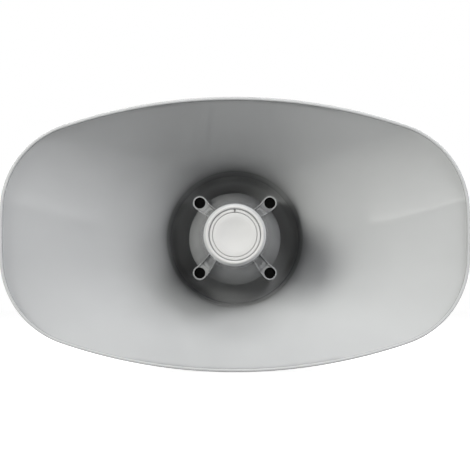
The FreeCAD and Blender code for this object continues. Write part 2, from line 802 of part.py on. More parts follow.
def driver_leads():
    # Two wires from the tags, back over the magnet and down to the winding.
    rise = driver_front_radius + 6
    start = driver_start + driver_ear_thickness + 11.5
    drop = core_rise + core_stack / 2 + winding_build
    end = frame_seat - core_length / 2
    bend = 6.0
    wires = []
    for x in (-5, 5):
        corner = place(x, end - bend, rise - bend)
        middle = corner + FreeCAD.Vector(0, bend * math.sin(math.pi / 4), bend * math.cos(math.pi / 4))
        path = Part.Wire([
            Part.LineSegment(place(x, start, rise), place(x, end - bend, rise)).toShape(),
            Part.Arc(place(x, end - bend, rise), middle, place(x, end, rise - bend)).toShape(),
            Part.LineSegment(place(x, end, rise - bend), place(x, end, drop)).toShape(),
        ])
        section = Part.Wire([Part.makeCircle(0.8, place(x, start, rise), Y_AXIS)])
        wires.append(path.makePipeShell([section], True, False))
    return Part.makeCompound(wires)


def transformer_core():
    # The laminated core, with a window each side of the middle limb.
    start = frame_seat - frame_sheet - core_length
    core = block(core_width, core_length, core_stack, 0, start, core_rise)
    window = limb_width / 2 + window_width / 2
    depth = start + (core_length - window_length) / 2
    return core.cut([
        block(window_width, window_length, core_stack + 2, x, depth, core_rise) for x in (window, -window)
    ])


def winding_block(grow, length_cut, height):
    start = frame_seat - frame_sheet - core_length / 2 - window_length / 2 + length_cut
    width = limb_width + 2 * grow
    return block(width, window_length - 2 * length_cut, height, 0, start, core_rise)


def transformer_bobbin():
    limb = winding_block(0.1, -1, core_stack + 0.2)
    sleeve = winding_block(1.2, 0.2, core_stack + 2.4).cut(limb)
    cheeks = []
    for start in (0.2, window_length - 1.4):
        depth = frame_seat - frame_sheet - core_length / 2 - window_length / 2 + start
        cheek = block(limb_width + 2 * window_width - 0.6, 1.2, core_stack + 2 * winding_build, 0, depth,
                      core_rise)
        cheeks.append(cheek.cut(block(limb_width + 0.2, 3, core_stack + 0.2, 0, depth - 1, core_rise)))
    return merged([sleeve] + cheeks)


def transformer_winding():
    inner = winding_block(1.3, -1, core_stack + 2.6)
    outer = winding_block(window_width - 0.8, 1.6, core_stack + 2 * winding_build - 1)
    edges = [e for e in outer.Edges if abs(e.tangentAt(e.FirstParameter).y) > 0.9]
    return outer.makeFillet(2.5, edges).cut(inner)


def transformer_frame():
    # A sheet strap over the core, with a foot each side on the rear cover's bosses.
    start = frame_seat - frame_sheet - core_length - frame_sheet - 0.1
    width = core_width + 2 * frame_sheet + 0.2
    height = core_stack - 4
    hoop = block(width, frame_seat - start, height, 0, start, core_rise)
    hoop = hoop.cut(block(core_width + 0.2, frame_seat - start, height + 2, 0, start + frame_sheet, core_rise))
    feet = []
    for side in (1, -1):
        x = side * (width / 2 + frame_foot / 2 - 0.5)
        foot = block(frame_foot + 1, frame_sheet, height, x, frame_seat - frame_sheet, core_rise)
        feet.append(foot.cut(rod(screw_hole_radius, frame_seat - 3, frame_seat + 1,
                                 side * transformer_screw_reach(), core_rise)))
    return merged([hoop] + feet)


def transformer_screw_reach():
    return core_width / 2 + frame_sheet + frame_foot / 2 + 1


def transformer_screws():
    screws = []
    for side in (1, -1):
        x = side * transformer_screw_reach()
        top = frame_seat - frame_sheet
        head = rod(screw_head_radius, top - screw_head_height, top, x, core_rise)
        screws.append(head.fuse(rod(screw_radius, top, frame_seat + frame_boss_height - 2, x, core_rise)))
    return Part.makeCompound(screws)


def rear_cover():
    # The deep moulded lid: domed back, screw tunnels, selector recess and a flat for the gland.
    inner = housing_radius - cover_wall
    outside = turned([
        (0, housing_rear, 0), (housing_radius, housing_rear, seam_rounding),
        (housing_radius, cover_rear, cover_dome_radius), (0, cover_rear, 0),
    ])
    gland_pad = Part.makeCylinder(gland_hex / 2 + gland_pad_margin, gland_seat, place(0, gland_depth, 0),
                                  Z_AXIS * -1)
    recess = rod(recess_radius, panel_rear, cover_rear + 1, 0, -selector_drop)
    recess_tray = rod(recess_radius + cover_wall, panel_front, cover_rear, 0, -selector_drop)
    inside = turned([
        (0, housing_rear - 1, 0), (inner, housing_rear - 1, 0),
        (inner, cover_rear - cover_wall, cover_dome_radius - cover_wall), (0, cover_rear - cover_wall, 0),
    ])
    flat_width = gland_hex + 2 * gland_pad_margin
    inside_flat = block(flat_width, flat_width, gland_seat, 0, gland_depth - flat_width / 2,
                        -gland_inner_seat - gland_seat / 2)
    inside = inside.cut([recess_tray, inside_flat])
    tunnel = rod(cover_boss_radius, housing_rear, cover_rear, cover_screw_circle).common(outside)
    boss_x = transformer_screw_reach()
    frame_boss = rod(5.5, frame_seat, cover_rear - 1, boss_x, core_rise)
    other_boss = rod(5.5, frame_seat, cover_rear - 1, -boss_x, core_rise)
    body = outside.fuse(gland_pad).cut(inside)
    body = merged([body, frame_boss, other_boss] + [around(tunnel, angle) for angle in DIAGONALS])
    head_bore = rod(screw_head_radius + 0.5, housing_rear + cover_screw_seat, cover_rear + 1,
                    cover_screw_circle)
    screw_hole = rod(screw_hole_radius, housing_rear - 1, cover_rear, cover_screw_circle)
    cuts = [around(hole, angle) for hole in (head_bore, screw_hole) for angle in DIAGONALS]
    frame_hole_end = frame_seat + frame_boss_height - 1
    cuts += [rod(tapped_radius, frame_seat - 1, frame_hole_end, x, core_rise) for x in (boss_x, -boss_x)]
    cuts += [recess, rod(bushing_radius + 0.1, panel_front - 1, panel_rear + 1, 0, -selector_drop)]
    cuts.append(Part.makeCylinder(gland_thread_radius + 0.1, housing_radius,
                                  place(0, gland_depth, -gland_seat / 2), Z_AXIS * -1))
    return body.cut(cuts)


def rear_seal():
    seal_mid = housing_radius - housing_wall / 2
    half = seal_width / 2 - 0.05
    return ring(seal_mid + half, seal_mid - half, housing_rear - seal_depth, housing_rear)


def rear_cover_screws():
    head = housing_rear + cover_screw_seat + screw_head_height
    return screws_on_circle(cover_screw_circle, DIAGONALS, head, housing_rear - cover_screw_grip)


def tap_switch_body():
    # The rotary switch behind the panel, with its threaded bushing through it.
    body = turned_at(0, -selector_drop, [
        (0, panel_front - switch_length, 0), (switch_radius, panel_front - switch_length, 1.0),
        (switch_radius, panel_front, 0.5), (bushing_radius, panel_front, 0),
        (bushing_radius, panel_rear + 3.0, 0.4), (0, panel_rear + 3.0, 0),
    ])
    spindle_hole = rod(spindle_radius + 0.05, panel_front - 4, panel_rear + 4, 0, -selector_drop)
    tags = []
    for angle in range(0, 360, 45):
        x = (switch_radius - 3) * math.cos(math.radians(angle))
        z = (switch_radius - 3) * math.sin(math.radians(angle))
        tags.append(block(0.8, 4, 2, x, panel_front - switch_length - 3.9, z - selector_drop))
    return merged([body] + tags).cut(spindle_hole)


def turned_at(x, rise, corners):
    solid = turned(corners)
    solid.translate(FreeCAD.Vector(x, 0, rise))
    return solid


def tap_switch_nut():
    start = panel_rear + 0.8
    bar = hexagon(bushing_hex, 0, bushing_nut_height, Y_AXIS, place(0, start, -selector_drop))
    return bar.cut(rod(bushing_radius, start - 1, start + bushing_nut_height + 1, 0, -selector_drop))


def selector_seal():
    return ring(bushing_radius + 3.4, bushing_radius, panel_rear, panel_rear + 0.8, 0, -selector_drop)


def tap_selector_knob():
    # A fluted knob on the switch's spindle, with a raised pointer.
    start = panel_rear + 3.4
    body = turned_at(0, -selector_drop, [
        (0, start, 0), (knob_radius, start, 0.6), (knob_radius - 0.8, start + knob_height, 1.2),
        (0, start + knob_height, 0),
    ])
    flutes = []
    for number in range(knob_flutes):
        angle = 2 * math.pi * (number + 0.5) / knob_flutes
        flutes.append(rod(1.6, start - 1, start + knob_height + 1, (knob_radius + 0.9) * math.cos(angle),
                          (knob_radius + 0.9) * math.sin(angle) - selector_drop))
    pointer = block(1.8, 1.0, knob_radius - 2.5, 0, start + knob_height - 0.2,
                    (knob_radius - 2.5) / 2 + 1 - selector_drop)
    spindle = rod(spindle_radius, panel_front - 3.5, start + 1, 0, -selector_drop)
    return body.cut(flutes).fuse([pointer, spindle])


def gland_piece(corners):
    # A body turned about the gland's own axis, from corners (radius, distance below the horn's axis).
    flipped = [(radius, -distance, rounding) for radius, distance, rounding in corners]
    solid = rounded_face(flipped).revolve(FreeCAD.Vector(0, 0, 0), Y_AXIS, 360)
    solid.rotate(FreeCAD.Vector(0, 0, 0), X_AXIS, 90)
    solid.translate(place(0, gland_depth, 0))
    return solid


def gland_body():
    tip = gland_seat + gland_hex_height + gland_nut_length - 4
    start = gland_inner_seat - 7
    tube = gland_piece([
        (gland_bore_radius + 1.5, start, 0), (gland_thread_radius, start, 0.5),
        (gland_thread_radius, tip - 3, 0.5), (gland_bore_radius + 3, tip - 3, 0),
        (gland_bore_radius + 1.5, tip - 6, 0),
    ])
    flange = hexagon(gland_hex, gland_seat, gland_seat + gland_hex_height, Z_AXIS * -1, place(0, gland_depth, 0))
    bore = Part.makeCylinder(gland_thread_radius - 1, gland_hex_height + 2,
                             place(0, gland_depth, -gland_seat + 1), Z_AXIS * -1)
    return tube.fuse(flange.cut(bore))


def gland_seal():
    start = gland_seat + gland_hex_height
    tip = start + gland_nut_length - 2
    return gland_piece([
        (gland_bore_radius, start - 2, 0), (gland_bore_radius + 1.4, start - 2, 0),
        (gland_bore_radius + 1.4, start + 2.8, 0), (gland_bore_radius + 1.4, tip, 0),
        (gland_bore_radius, tip, 0),
    ])


def gland_nut():
    # The domed outer nut that squeezes the seal.
    start = gland_seat + gland_hex_height + 0.2
    tip = start + gland_nut_length
    dome = gland_piece([
        (gland_thread_radius + 0.05, start, 0), (gland_hex / 2 + 0.6, start, 0.6),
        (gland_hex / 2 + 0.4, tip, 4.5), (gland_bore_radius + 1.5, tip, 0),
        (gland_bore_radius + 1.5, tip - 3, 0), (gland_thread_radius + 0.05, tip - 5, 0),
    ])
    flats = hexagon(gland_hex, start, tip, Z_AXIS * -1, place(0, gland_depth, 0))
    return dome.common(flats)


def gland_locknut():
    seat = gland_inner_seat
    bar = hexagon(gland_hex, seat - gland_locknut_height, seat, Z_AXIS * -1, place(0, gland_depth, 0))
    hole = Part.makeCylinder(gland_thread_radius, 4 * gland_locknut_height,
                             place(0, gland_depth, 2 * gland_locknut_height - seat), Z_AXIS * -1)
    return bar.cut(hole)


def bracket():
    # One steel strap bent to a U, with round ends at the pivots and holes in the foot.
    half = strap_outer
    outer_bend = strap_bend_radius + strap_thickness
    outer = rounded_face([
        (-half, axis_height + strap_width, 0), (-half, 0, outer_bend), (half, 0, outer_bend),
        (half, axis_height + strap_width, 0),
    ])
    inner = rounded_face([
        (-strap_inner, axis_height + strap_width + 1, 0), (-strap_inner, strap_thickness, strap_bend_radius),
        (strap_inner, strap_thickness, strap_bend_radius), (strap_inner, axis_height + strap_width + 1, 0),
    ])
    strap = outer.cut(inner).extrude(FreeCAD.Vector(0, 0, strap_width))
    strap.rotate(FreeCAD.Vector(0, 0, 0), X_AXIS, 90)
    strap.translate(FreeCAD.Vector(0, strap_width / 2, 0))
    keep = Part.makeBox(2 * half + 2, strap_width, axis_height,
                        FreeCAD.Vector(-half - 1, -strap_width / 2, 0))
    keep = keep.fuse(Part.makeCylinder(strap_width / 2, 2 * half + 2,
                                       FreeCAD.Vector(-half - 1, 0, axis_height), X_AXIS))
    strap = strap.common(keep)
    cuts = [Part.makeCylinder(foot_hole_radius, strap_thickness + 2, FreeCAD.Vector(0, 0, -1), Z_AXIS)]
    cuts += [side_rod(side, pivot_radius + pivot_gap, strap_inner - 1, strap_outer + 1) for side in (1, -1)]
    run = slot_length - 2 * slot_radius
    for side in (1, -1):
        middle = side * slot_spacing / 2
        cuts.append(Part.makeBox(run, 2 * slot_radius, strap_thickness + 2,
                                 FreeCAD.Vector(middle - run / 2, -slot_radius, -1)))
        cuts += [Part.makeCylinder(slot_radius, strap_thickness + 2,
                                   FreeCAD.Vector(middle + end * run / 2, 0, -1), Z_AXIS) for end in (1, -1)]
    return strap.cut(cuts)


def pivot_insert(side):
    return side_ring(side, insert_radius, pivot_radius, ear_reach - insert_length, ear_reach)


def friction_pad(side):
    return side_ring(side, pad_radius, pivot_radius + 0.2, ear_reach, pad_face)


def flat_washer(side):
    start = strap_outer + face_gap
    return side_ring(side, pivot_washer_radius, pivot_radius + 0.2, start, start + pivot_washer_thickness)


def lock_washer(side):
    # A split spring washer.
    start = strap_outer + face_gap + pivot_washer_thickness
    washer = side_ring(side, lock_washer_radius, pivot_radius + 0.1, start, start + lock_washer_thickness)
    split = Part.makeBox(lock_washer_thickness + 2, 0.9, lock_washer_radius + 1,
                         place(min(side * start, side * (start + lock_washer_thickness)) - 1,
                               pivot_depth - 0.45, 0))
    return washer.cut(split)


def pivot_bolt(side):
    # A hexagon bolt through strap and pad into the insert.
    seat = strap_outer + face_gap + pivot_washer_thickness + lock_washer_thickness
    head = hexagon(bolt_hex, seat, seat + bolt_head_height, X_AXIS * side, place(0, pivot_depth, 0))
    crown = Part.makeCone(bolt_hex * 0.75, bolt_hex * 0.48, bolt_head_height,
                          place(side * seat, pivot_depth, 0), X_AXIS * side)
    return head.common(crown).fuse(side_rod(side, pivot_radius, ear_reach - bolt_grip, seat))


def save(shape, node):
    shape.exportStep("parts/" + node + ".step")


def main():
    os.makedirs("parts", exist_ok=True)
    pieces = (
        horn_flare, reflex_cup, cap_ring, front_disc, cup_screws, cup_screw_washers, lug_plugs, tone_guide,
        flare_gasket, pivot_housing, throat_gasket, driver_front, driver_screws, motor_screws, phase_plug, diaphragm,
        surround, voice_coil, clamp_ring, top_plate, magnet, yoke, terminal_strip, driver_leads,
        transformer_core, transformer_bobbin, transformer_winding, transformer_frame, transformer_screws,
        rear_cover, rear_seal, rear_cover_screws, tap_switch_body, tap_switch_nut, selector_seal,
        tap_selector_knob, gland_body, gland_seal, gland_nut, gland_locknut, bracket,
    )
    for piece in pieces:
        save(piece(), piece.__name__)
    for piece in (pivot_insert, friction_pad, flat_washer, lock_washer, pivot_bolt):
        save(piece(-1), piece.__name__ + "_left")
        save(piece(1), piece.__name__ + "_right")


main()
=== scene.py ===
import bmesh
import bpy
import json
import math
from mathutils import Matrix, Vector


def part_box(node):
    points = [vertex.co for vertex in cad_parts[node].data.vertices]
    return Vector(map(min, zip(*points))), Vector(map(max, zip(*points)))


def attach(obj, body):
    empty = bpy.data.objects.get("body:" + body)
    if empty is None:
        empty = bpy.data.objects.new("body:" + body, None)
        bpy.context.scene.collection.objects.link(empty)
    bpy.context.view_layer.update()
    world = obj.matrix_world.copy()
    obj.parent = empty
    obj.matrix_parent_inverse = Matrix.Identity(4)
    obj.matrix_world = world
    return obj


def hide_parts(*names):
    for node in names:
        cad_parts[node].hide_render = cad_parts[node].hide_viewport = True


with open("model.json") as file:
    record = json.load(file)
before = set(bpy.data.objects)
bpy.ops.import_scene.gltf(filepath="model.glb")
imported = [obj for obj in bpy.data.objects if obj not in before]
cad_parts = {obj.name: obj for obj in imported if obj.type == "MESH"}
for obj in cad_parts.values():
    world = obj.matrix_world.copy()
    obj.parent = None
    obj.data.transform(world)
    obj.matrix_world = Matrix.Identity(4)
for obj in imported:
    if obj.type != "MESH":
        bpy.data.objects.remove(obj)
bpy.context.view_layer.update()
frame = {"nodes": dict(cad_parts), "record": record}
print("frame loaded:", len(frame["nodes"]), "nodes")

# The horn's own places, read from the frame: the mouth's plane, and the axis from mouth to rear cover
hornLow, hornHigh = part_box("horn_flare")
mouthY = hornLow[1]
axisZ = (hornLow[2] + hornHigh[2]) / 2


def atDepth(depth):  # a depth behind the mouth's plane, in metres, as a place along Y
    return mouthY + depth


# Materials: number sockets that add up by themselves, and one way to add any other node

class Amount:
    def __init__(self, finish, socket):
        self.finish = finish
        self.socket = socket

    def step(self, operation, first, second):
        return self.finish.add("ShaderNodeMath", {"operation": operation}, {0: first, 1: second})

    def __add__(self, other):
        return self.step("ADD", self, other)

    def __radd__(self, other):
        return self.step("ADD", other, self)

    def __sub__(self, other):
        return self.step("SUBTRACT", self, other)

    def __rsub__(self, other):
        return self.step("SUBTRACT", other, self)

    def __mul__(self, other):
        return self.step("MULTIPLY", self, other)

    def __rmul__(self, other):
        return self.step("MULTIPLY", other, self)


class Finish:
    def __init__(self, name, **gloss):
        self.material = bpy.data.materials.new(name)
        self.material.use_nodes = True
        self.tree = self.material.node_tree
        self.shader = self.tree.nodes["Principled BSDF"]
        for socket, value in gloss.items():
            self.shader.inputs[socket.replace("_", " ")].default_value = value
        self.place = self.add("ShaderNodeTexCoord", output="Object")

    def add(self, kind, settings=None, sockets=None, output=0):
        node = self.tree.nodes.new(kind)
        for name, value in (settings or {}).items():
            setattr(node, name, value)
        for name, value in (sockets or {}).items():
            if isinstance(value, Amount):
                self.tree.links.new(value.socket, node.inputs[name])
            else:
                node.inputs[name].default_value = value
        return Amount(self, node.outputs[output])

    def noise(self, scale, detail=3.0, stretch=None):
        place = self.place
        if stretch:
            place = self.add("ShaderNodeMapping", {}, {"Vector": place, "Scale": stretch})
        return self.add("ShaderNodeTexNoise", {}, {"Vector": place, "Scale": scale, "Detail": detail})

    def bands(self, scale, direction, wobble=0.0):
        return self.add("ShaderNodeTexWave", {"bands_direction": direction},
                        {"Vector": self.place, "Scale": scale, "Distortion": wobble, "Detail": 2.0},
                        output=1)

    def ramp(self, amount, low, high):  # 0 below low, 1 above high
        return self.add("ShaderNodeMapRange", {"clamp": True},
                        {"Value": amount, "From Min": low, "From Max": high})

    def between(self, factor, first, second):  # a colour between two
        return self.add("ShaderNodeMix", {"data_type": "RGBA"},
                        {"Factor": factor, "A": first, "B": second}, output=2)

    def put(self, socket, amount):
        self.tree.links.new(amount.socket, self.shader.inputs[socket])
        return self

    def bump(self, *layers):  # (height amount, metres) pairs, summed into one relief
        relief = sum(amount * size for amount, size in layers)
        return self.put("Normal", self.add("ShaderNodeBump", {}, {"Height": relief, "Distance": 1.0}))


def shade(grey, warm=0.0):  # a linear colour near grey, a little warmer or cooler
    return (grey * (1 + warm), grey, grey * (1 - warm), 1)


def smoothMoulding(name, grey, warm, roughness, peel):
    finish = Finish(name, Specular_IOR_Level=0.5)
    cloud = finish.noise(5.0)
    flow = finish.noise(16.0, stretch=(1, 0.35, 1))
    fine = finish.noise(700.0, 2.0)
    pores = finish.noise(2600.0, 1.0)
    tone = finish.ramp(cloud * 0.6 + flow * 0.4, 0.36, 0.64)
    finish.put("Base Color", finish.between(tone, shade(grey * 0.965, warm), shade(grey * 1.02, warm)))
    finish.put("Roughness", roughness + finish.ramp(flow, 0.3, 0.7) * 0.03 + fine * 0.02)
    return finish.bump((finish.noise(34.0, 1.0), peel * 3), (fine, peel), (pores, peel * 0.15))


def texturedMoulding(name, grey, warm):
    finish = Finish(name, Specular_IOR_Level=0.45)
    cloud = finish.noise(7.0)
    grain = finish.noise(1500.0, 2.0)
    scuff = finish.ramp(finish.noise(55.0, 6.0), 0.60, 0.74)
    tone = finish.ramp(cloud, 0.34, 0.66)
    base = finish.between(tone, shade(grey * 0.96, warm), shade(grey * 1.03, warm))
    finish.put("Base Color", finish.between(scuff * 0.25, base, shade(grey * 1.12, warm)))
    finish.put("Roughness", 0.40 + grain * 0.12 - scuff * 0.06)
    return finish.bump((grain, 0.00012), (finish.noise(40.0), 0.0001))


def powderCoat(name, grey, warm):
    finish = Finish(name, Specular_IOR_Level=0.5)
    peel = finish.noise(900.0, 2.0)
    speck = finish.ramp(finish.noise(2400.0, 1.0), 0.58, 0.72)
    base = finish.between(finish.ramp(finish.noise(9.0), 0.35, 0.65),
                          shade(grey * 0.95, warm), shade(grey * 1.04, warm))
    finish.put("Base Color", finish.between(speck * 0.3, base, shade(grey * 0.8, warm)))
    finish.put("Roughness", 0.36 + peel * 0.16)
    return finish.bump((peel, 0.0002), (speck, 0.00002))


def platedMetal(name, colour, roughness, grain, metallic=1.0):
    finish = Finish(name, Metallic=metallic)
    blotch = finish.noise(120.0, 4.0)
    brushed = finish.noise(900.0, 2.0, stretch=grain)
    dark = tuple(c * 0.86 for c in colour[:3]) + (1,)
    finish.put("Base Color", finish.between(finish.ramp(blotch, 0.35, 0.7), colour, dark))
    finish.put("Roughness", roughness + blotch * 0.12 + brushed * 0.08)
    return finish.bump((brushed, 0.00004))


def blackOxide(name):
    finish = Finish(name, Specular_IOR_Level=0.5)
    blotch = finish.noise(300.0, 4.0)
    finish.put("Base Color", finish.between(blotch, shade(0.012), shade(0.03)))
    finish.put("Roughness", 0.38 + blotch * 0.2)
    return finish.bump((finish.noise(2000.0), 0.00003))


def softRubber(name, grey):
    finish = Finish(name, Specular_IOR_Level=0.1)
    dust = finish.ramp(finish.noise(60.0, 6.0), 0.52, 0.8)
    grain = finish.noise(2200.0, 2.0)
    finish.put("Base Color", finish.between(dust * 0.4, shade(grey), shade(grey * 2.6)))
    finish.put("Roughness", 0.66 + grain * 0.2)
    return finish.bump((grain, 0.00006))


def darkMoulding(name, grey, roughness):
    finish = Finish(name, Specular_IOR_Level=0.5)
    grain = finish.noise(1800.0, 2.0)
    rub = finish.ramp(finish.noise(90.0, 5.0), 0.55, 0.75)
    finish.put("Base Color", finish.between(rub * 0.5, shade(grey), shade(grey * 2.0)))
    finish.put("Roughness", roughness + grain * 0.14 - rub * 0.08)
    return finish.bump((grain, 0.00007))


def castMetal(name, grey):
    finish = Finish(name, Metallic=1.0)
    sand = finish.noise(1400.0, 4.0)
    stain = finish.noise(70.0, 5.0)
    stained = finish.ramp(stain, 0.4, 0.7)
    finish.put("Base Color", finish.between(stained, shade(grey), shade(grey * 0.78, 0.02)))
    finish.put("Roughness", 0.42 + sand * 0.2)
    return finish.bump((sand, 0.00012))


def groundFerrite(name):
    finish = Finish(name, Specular_IOR_Level=0.4)
    chalk = finish.noise(240.0, 6.0)
    lines = finish.bands(900.0, "Y", 3.0)
    finish.put("Base Color", finish.between(chalk, shade(0.016), shade(0.034, 0.02)))
    finish.put("Roughness", 0.5 + lines * 0.12)
    return finish.bump((lines, 0.00002), (chalk, 0.00005))


def pressedFilm(name):
    finish = Finish(name, Specular_IOR_Level=0.6)
    cloud = finish.noise(160.0, 3.0)
    finish.put("Base Color", finish.between(cloud, (0.20, 0.09, 0.035, 1), (0.27, 0.13, 0.055, 1)))
    finish.put("Roughness", 0.25 + cloud * 0.15)
    return finish.bump((finish.bands(420.0, "DIAGONAL", 2.0), 0.00002))


def woundCopper(name):
    finish = Finish(name, Metallic=1.0)
    turns = finish.bands(500.0, "Y", 0.6)
    finish.put("Base Color", finish.between(turns, (0.30, 0.10, 0.045, 1), (0.62, 0.27, 0.14, 1)))
    finish.put("Roughness", 0.34 - turns * 0.1)
    return finish.bump((turns, 0.00018))


def stackedSheets(name):
    finish = Finish(name, Metallic=0.85)
    sheets = finish.bands(628.0, "Z", 0.4)
    rust = finish.ramp(finish.noise(150.0, 5.0), 0.58, 0.78)
    base = finish.between(sheets, shade(0.05), shade(0.16))
    finish.put("Base Color", finish.between(rust * 0.35, base, (0.13, 0.055, 0.025, 1)))
    finish.put("Roughness", 0.48 + rust * 0.2)
    return finish.bump((sheets, 0.00012))


def pressedBoard(name):
    finish = Finish(name, Specular_IOR_Level=0.35)
    fibre = finish.noise(900.0, 5.0, stretch=(0.2, 1, 1))
    finish.put("Base Color", finish.between(fibre, (0.10, 0.045, 0.016, 1), (0.21, 0.10, 0.04, 1)))
    finish.put("Roughness", 0.5 + fibre * 0.2)
    return finish.bump((fibre, 0.00008))


def wireInsulation(name):
    finish = Finish(name, Specular_IOR_Level=0.5)
    cloud = finish.noise(300.0)
    finish.put("Base Color", finish.between(cloud, (0.26, 0.012, 0.010, 1), (0.36, 0.022, 0.016, 1)))
    finish.put("Roughness", 0.34 + cloud * 0.12)
    return finish.bump((finish.noise(1500.0), 0.00003))


finishes = {
    "flare_plastic": smoothMoulding("glossyGreyMoulding", 0.34, -0.015, 0.04, 0.000012),
    "cup_plastic": smoothMoulding("cupGreyMoulding", 0.34, -0.015, 0.07, 0.000012),
    "cap_plastic": smoothMoulding("paleCapMoulding", 0.40, 0.004, 0.16, 0.000012),
    "housing_plastic": texturedMoulding("housingGreyMoulding", 0.36, -0.01),
    "bracket_paint": powderCoat("bracketPowderCoat", 0.34, 0.004),
    "plated_steel": platedMetal("zincPlatedSteel", (0.62, 0.62, 0.58, 1), 0.22, (1, 0.15, 1)),
    "black_screws": blackOxide("blackOxideScrew"),
    "brass_insert": platedMetal("turnedBrass", (0.70, 0.47, 0.18, 1), 0.20, (0.15, 1, 1)),
    # black rubber, set darker than real rubber so the plugs in the lug holes act as painted shade for the
    # deep holes
    "gasket_rubber": softRubber("blackRubberAndPaintedShade", 0.003),
    "cast_alloy": castMetal("dieCastAlloy", 0.55),
    "ferrite": groundFerrite("groundFerrite"),
    "magnet_steel": platedMetal("turnedMotorSteel", (0.50, 0.51, 0.52, 1), 0.26, (1, 0.1, 1)),
    "dome_film": pressedFilm("pressedDomeFilm"),
    "coil_copper": woundCopper("lacqueredCopperTurns"),
    "lamination": stackedSheets("siliconSteelStack"),
    "bobbin_plastic": darkMoulding("bobbinMoulding", 0.02, 0.40),
    "black_plastic": darkMoulding("blackFineMoulding", 0.014, 0.36),
    "fibre_board": pressedBoard("pressedFibreBoard"),
    "wire_sleeve": wireInsulation("redWireInsulation"),
}
for subpart in frame["record"]["subparts"]:
    node = frame["nodes"][subpart["node"]]
    for materialSlot in node.material_slots:
        materialSlot.material = finishes[subpart["material_slot"]].material
print("finishes made:", len(finishes))


# Modelling helpers

def nothingSelected():
    if bpy.context.object and bpy.context.object.mode != "OBJECT":
        bpy.ops.object.mode_set(mode="OBJECT")
    bpy.ops.object.select_all(action="DESELECT")


def finishPiece(piece, body, slotName, *nodes):
    piece.data.materials.clear()
    piece.data.materials.append(finishes[slotName].material)
    if nodes:
        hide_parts(*nodes)
    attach(piece, body)


def smoothShading(angle=38):  # faces that meet at less than the angle, in degrees, shade as one
    bpy.ops.object.shade_smooth_by_angle(angle=math.radians(angle))


def drawnShell(name, rings, closed):
    # A circle, extruded ring by ring along a profile, each ring set on its outline. A closed profile
    # joins its last ring to its first; an open one gets a flat face at each end.
    nothingSelected()
    fill = "NOTHING" if closed else "NGON"
    bpy.ops.mesh.primitive_circle_add(vertices=len(rings[0]), radius=1, fill_type=fill)
    piece = bpy.context.object
    piece.name = name
    bpy.ops.object.mode_set(mode="EDIT")
    bpy.ops.mesh.select_all(action="SELECT")
    mesh = bmesh.from_edit_mesh(piece.data)
    number = mesh.verts.layers.int.new("number")
    mesh.verts.ensure_lookup_table()
    for vertex in mesh.verts:
        vertex[number] = vertex.index
    for count, ring in enumerate(rings):
        if count:
            bpy.ops.mesh.extrude_edges_indiv()
        mesh = bmesh.from_edit_mesh(piece.data)
        number = mesh.verts.layers.int["number"]
        for vertex in mesh.verts:
            if vertex.select:
                vertex.co = ring[vertex[number]]
    if closed:
        bpy.ops.mesh.select_all(action="DESELECT")
        bpy.ops.mesh.select_non_manifold()
        bpy.ops.mesh.bridge_edge_loops()
    else:
        bpy.ops.mesh.edge_face_add()
    bpy.ops.mesh.select_all(action="SELECT")
    bpy.ops.mesh.normals_make_consistent(inside=False)
    bpy.ops.object.mode_set(mode="OBJECT")
    return piece


def arcSteps(centre, radius, start, end, steps):  # points along an arc, angles in degrees
    angles = [math.radians(start + (end - start) * step / steps) for step in range(steps + 1)]
    return [(centre[0] + radius * math.cos(a), centre[1] + radius * math.sin(a)) for a in angles]


# Flare: an oblong mouth of eight arcs that turns into a round neck

flareSizes = {
    "mouthWidth": 0.4900, "mouthHeight": 0.2862, "mouthCorner": 0.0950,
    "crownAngle": 18.7, "flankAngle": 2.9, "neckAngle": 22.5,
    "lip": 0.0032, "lipDepth": 0.0060, "lipRounding": 0.0014, "lipBand": 0.0030, "lipShares": (0.5, 0.95),
    "wallBack": 0.0020, "wallOut": 0.0022, "softEdge": 0.0002,
    "turn": 0.42, "neckRadius": 0.0760, "neckDepth": 0.1540, "neckTaper": 0.0030,
    "neckShares": (0.02, 0.3, 0.7, 1.0), "sleeveShares": (0.98, 0.5, 0.02),
    "floorDepth": 0.1880, "floorRear": 0.1920, "floorMiddle": 0.0500,
    "floorRounding": 0.0090, "floorTurn": 8,
    "collarHole": 0.0223, "collarEdge": 0.0003,
    "flangeRadius": 0.0770, "flangeLength": 0.0060, "flangeRearEdge": 0.0006, "flangeFrontEdge": 0.0004,
    "flankSteps": 6, "cornerSteps": 20, "crownSteps": 22, "bellRings": 36,
    "roundingSteps": 6, "floorSteps": 8, "smoothAngle": 32,
}


def oblongRing(halfWidth, halfHeight, corner, crown, flank, depth):
    sizes = flareSizes
    crown, flank = math.radians(crown), math.radians(flank)
    a, b = math.sin(crown), 1 - math.cos(flank)
    c, d = 1 - math.cos(crown), math.sin(flank)
    across = halfWidth + corner * (math.sin(crown) - math.cos(flank))
    upward = halfHeight - corner * (math.cos(crown) - math.sin(flank))
    spread = a * d - b * c
    crownRadius = (across * d - b * upward) / spread
    flankRadius = (a * upward - across * c) / spread
    crownEnd = (crownRadius * math.sin(crown), halfHeight - crownRadius * (1 - math.cos(crown)))
    centre = (crownEnd[0] - corner * math.sin(crown), crownEnd[1] - corner * math.cos(crown))
    flank, crown = math.degrees(flank), math.degrees(crown)
    quarter = arcSteps((halfWidth - flankRadius, 0), flankRadius, 0, flank, sizes["flankSteps"])[:-1]
    quarter += arcSteps(centre, corner, flank, 90 - crown, sizes["cornerSteps"])[:-1]
    quarter += arcSteps((0, halfHeight - crownRadius), crownRadius, 90 - crown, 90, sizes["crownSteps"])
    right = quarter[:-1]
    top = [quarter[-1]]
    upper = right + top + [(-x, z) for x, z in reversed(right)]
    points = upper + [(x, -z) for x, z in reversed(upper[1:-1])]
    return [Vector((x, atDepth(depth), axisZ + z)) for x, z in points]


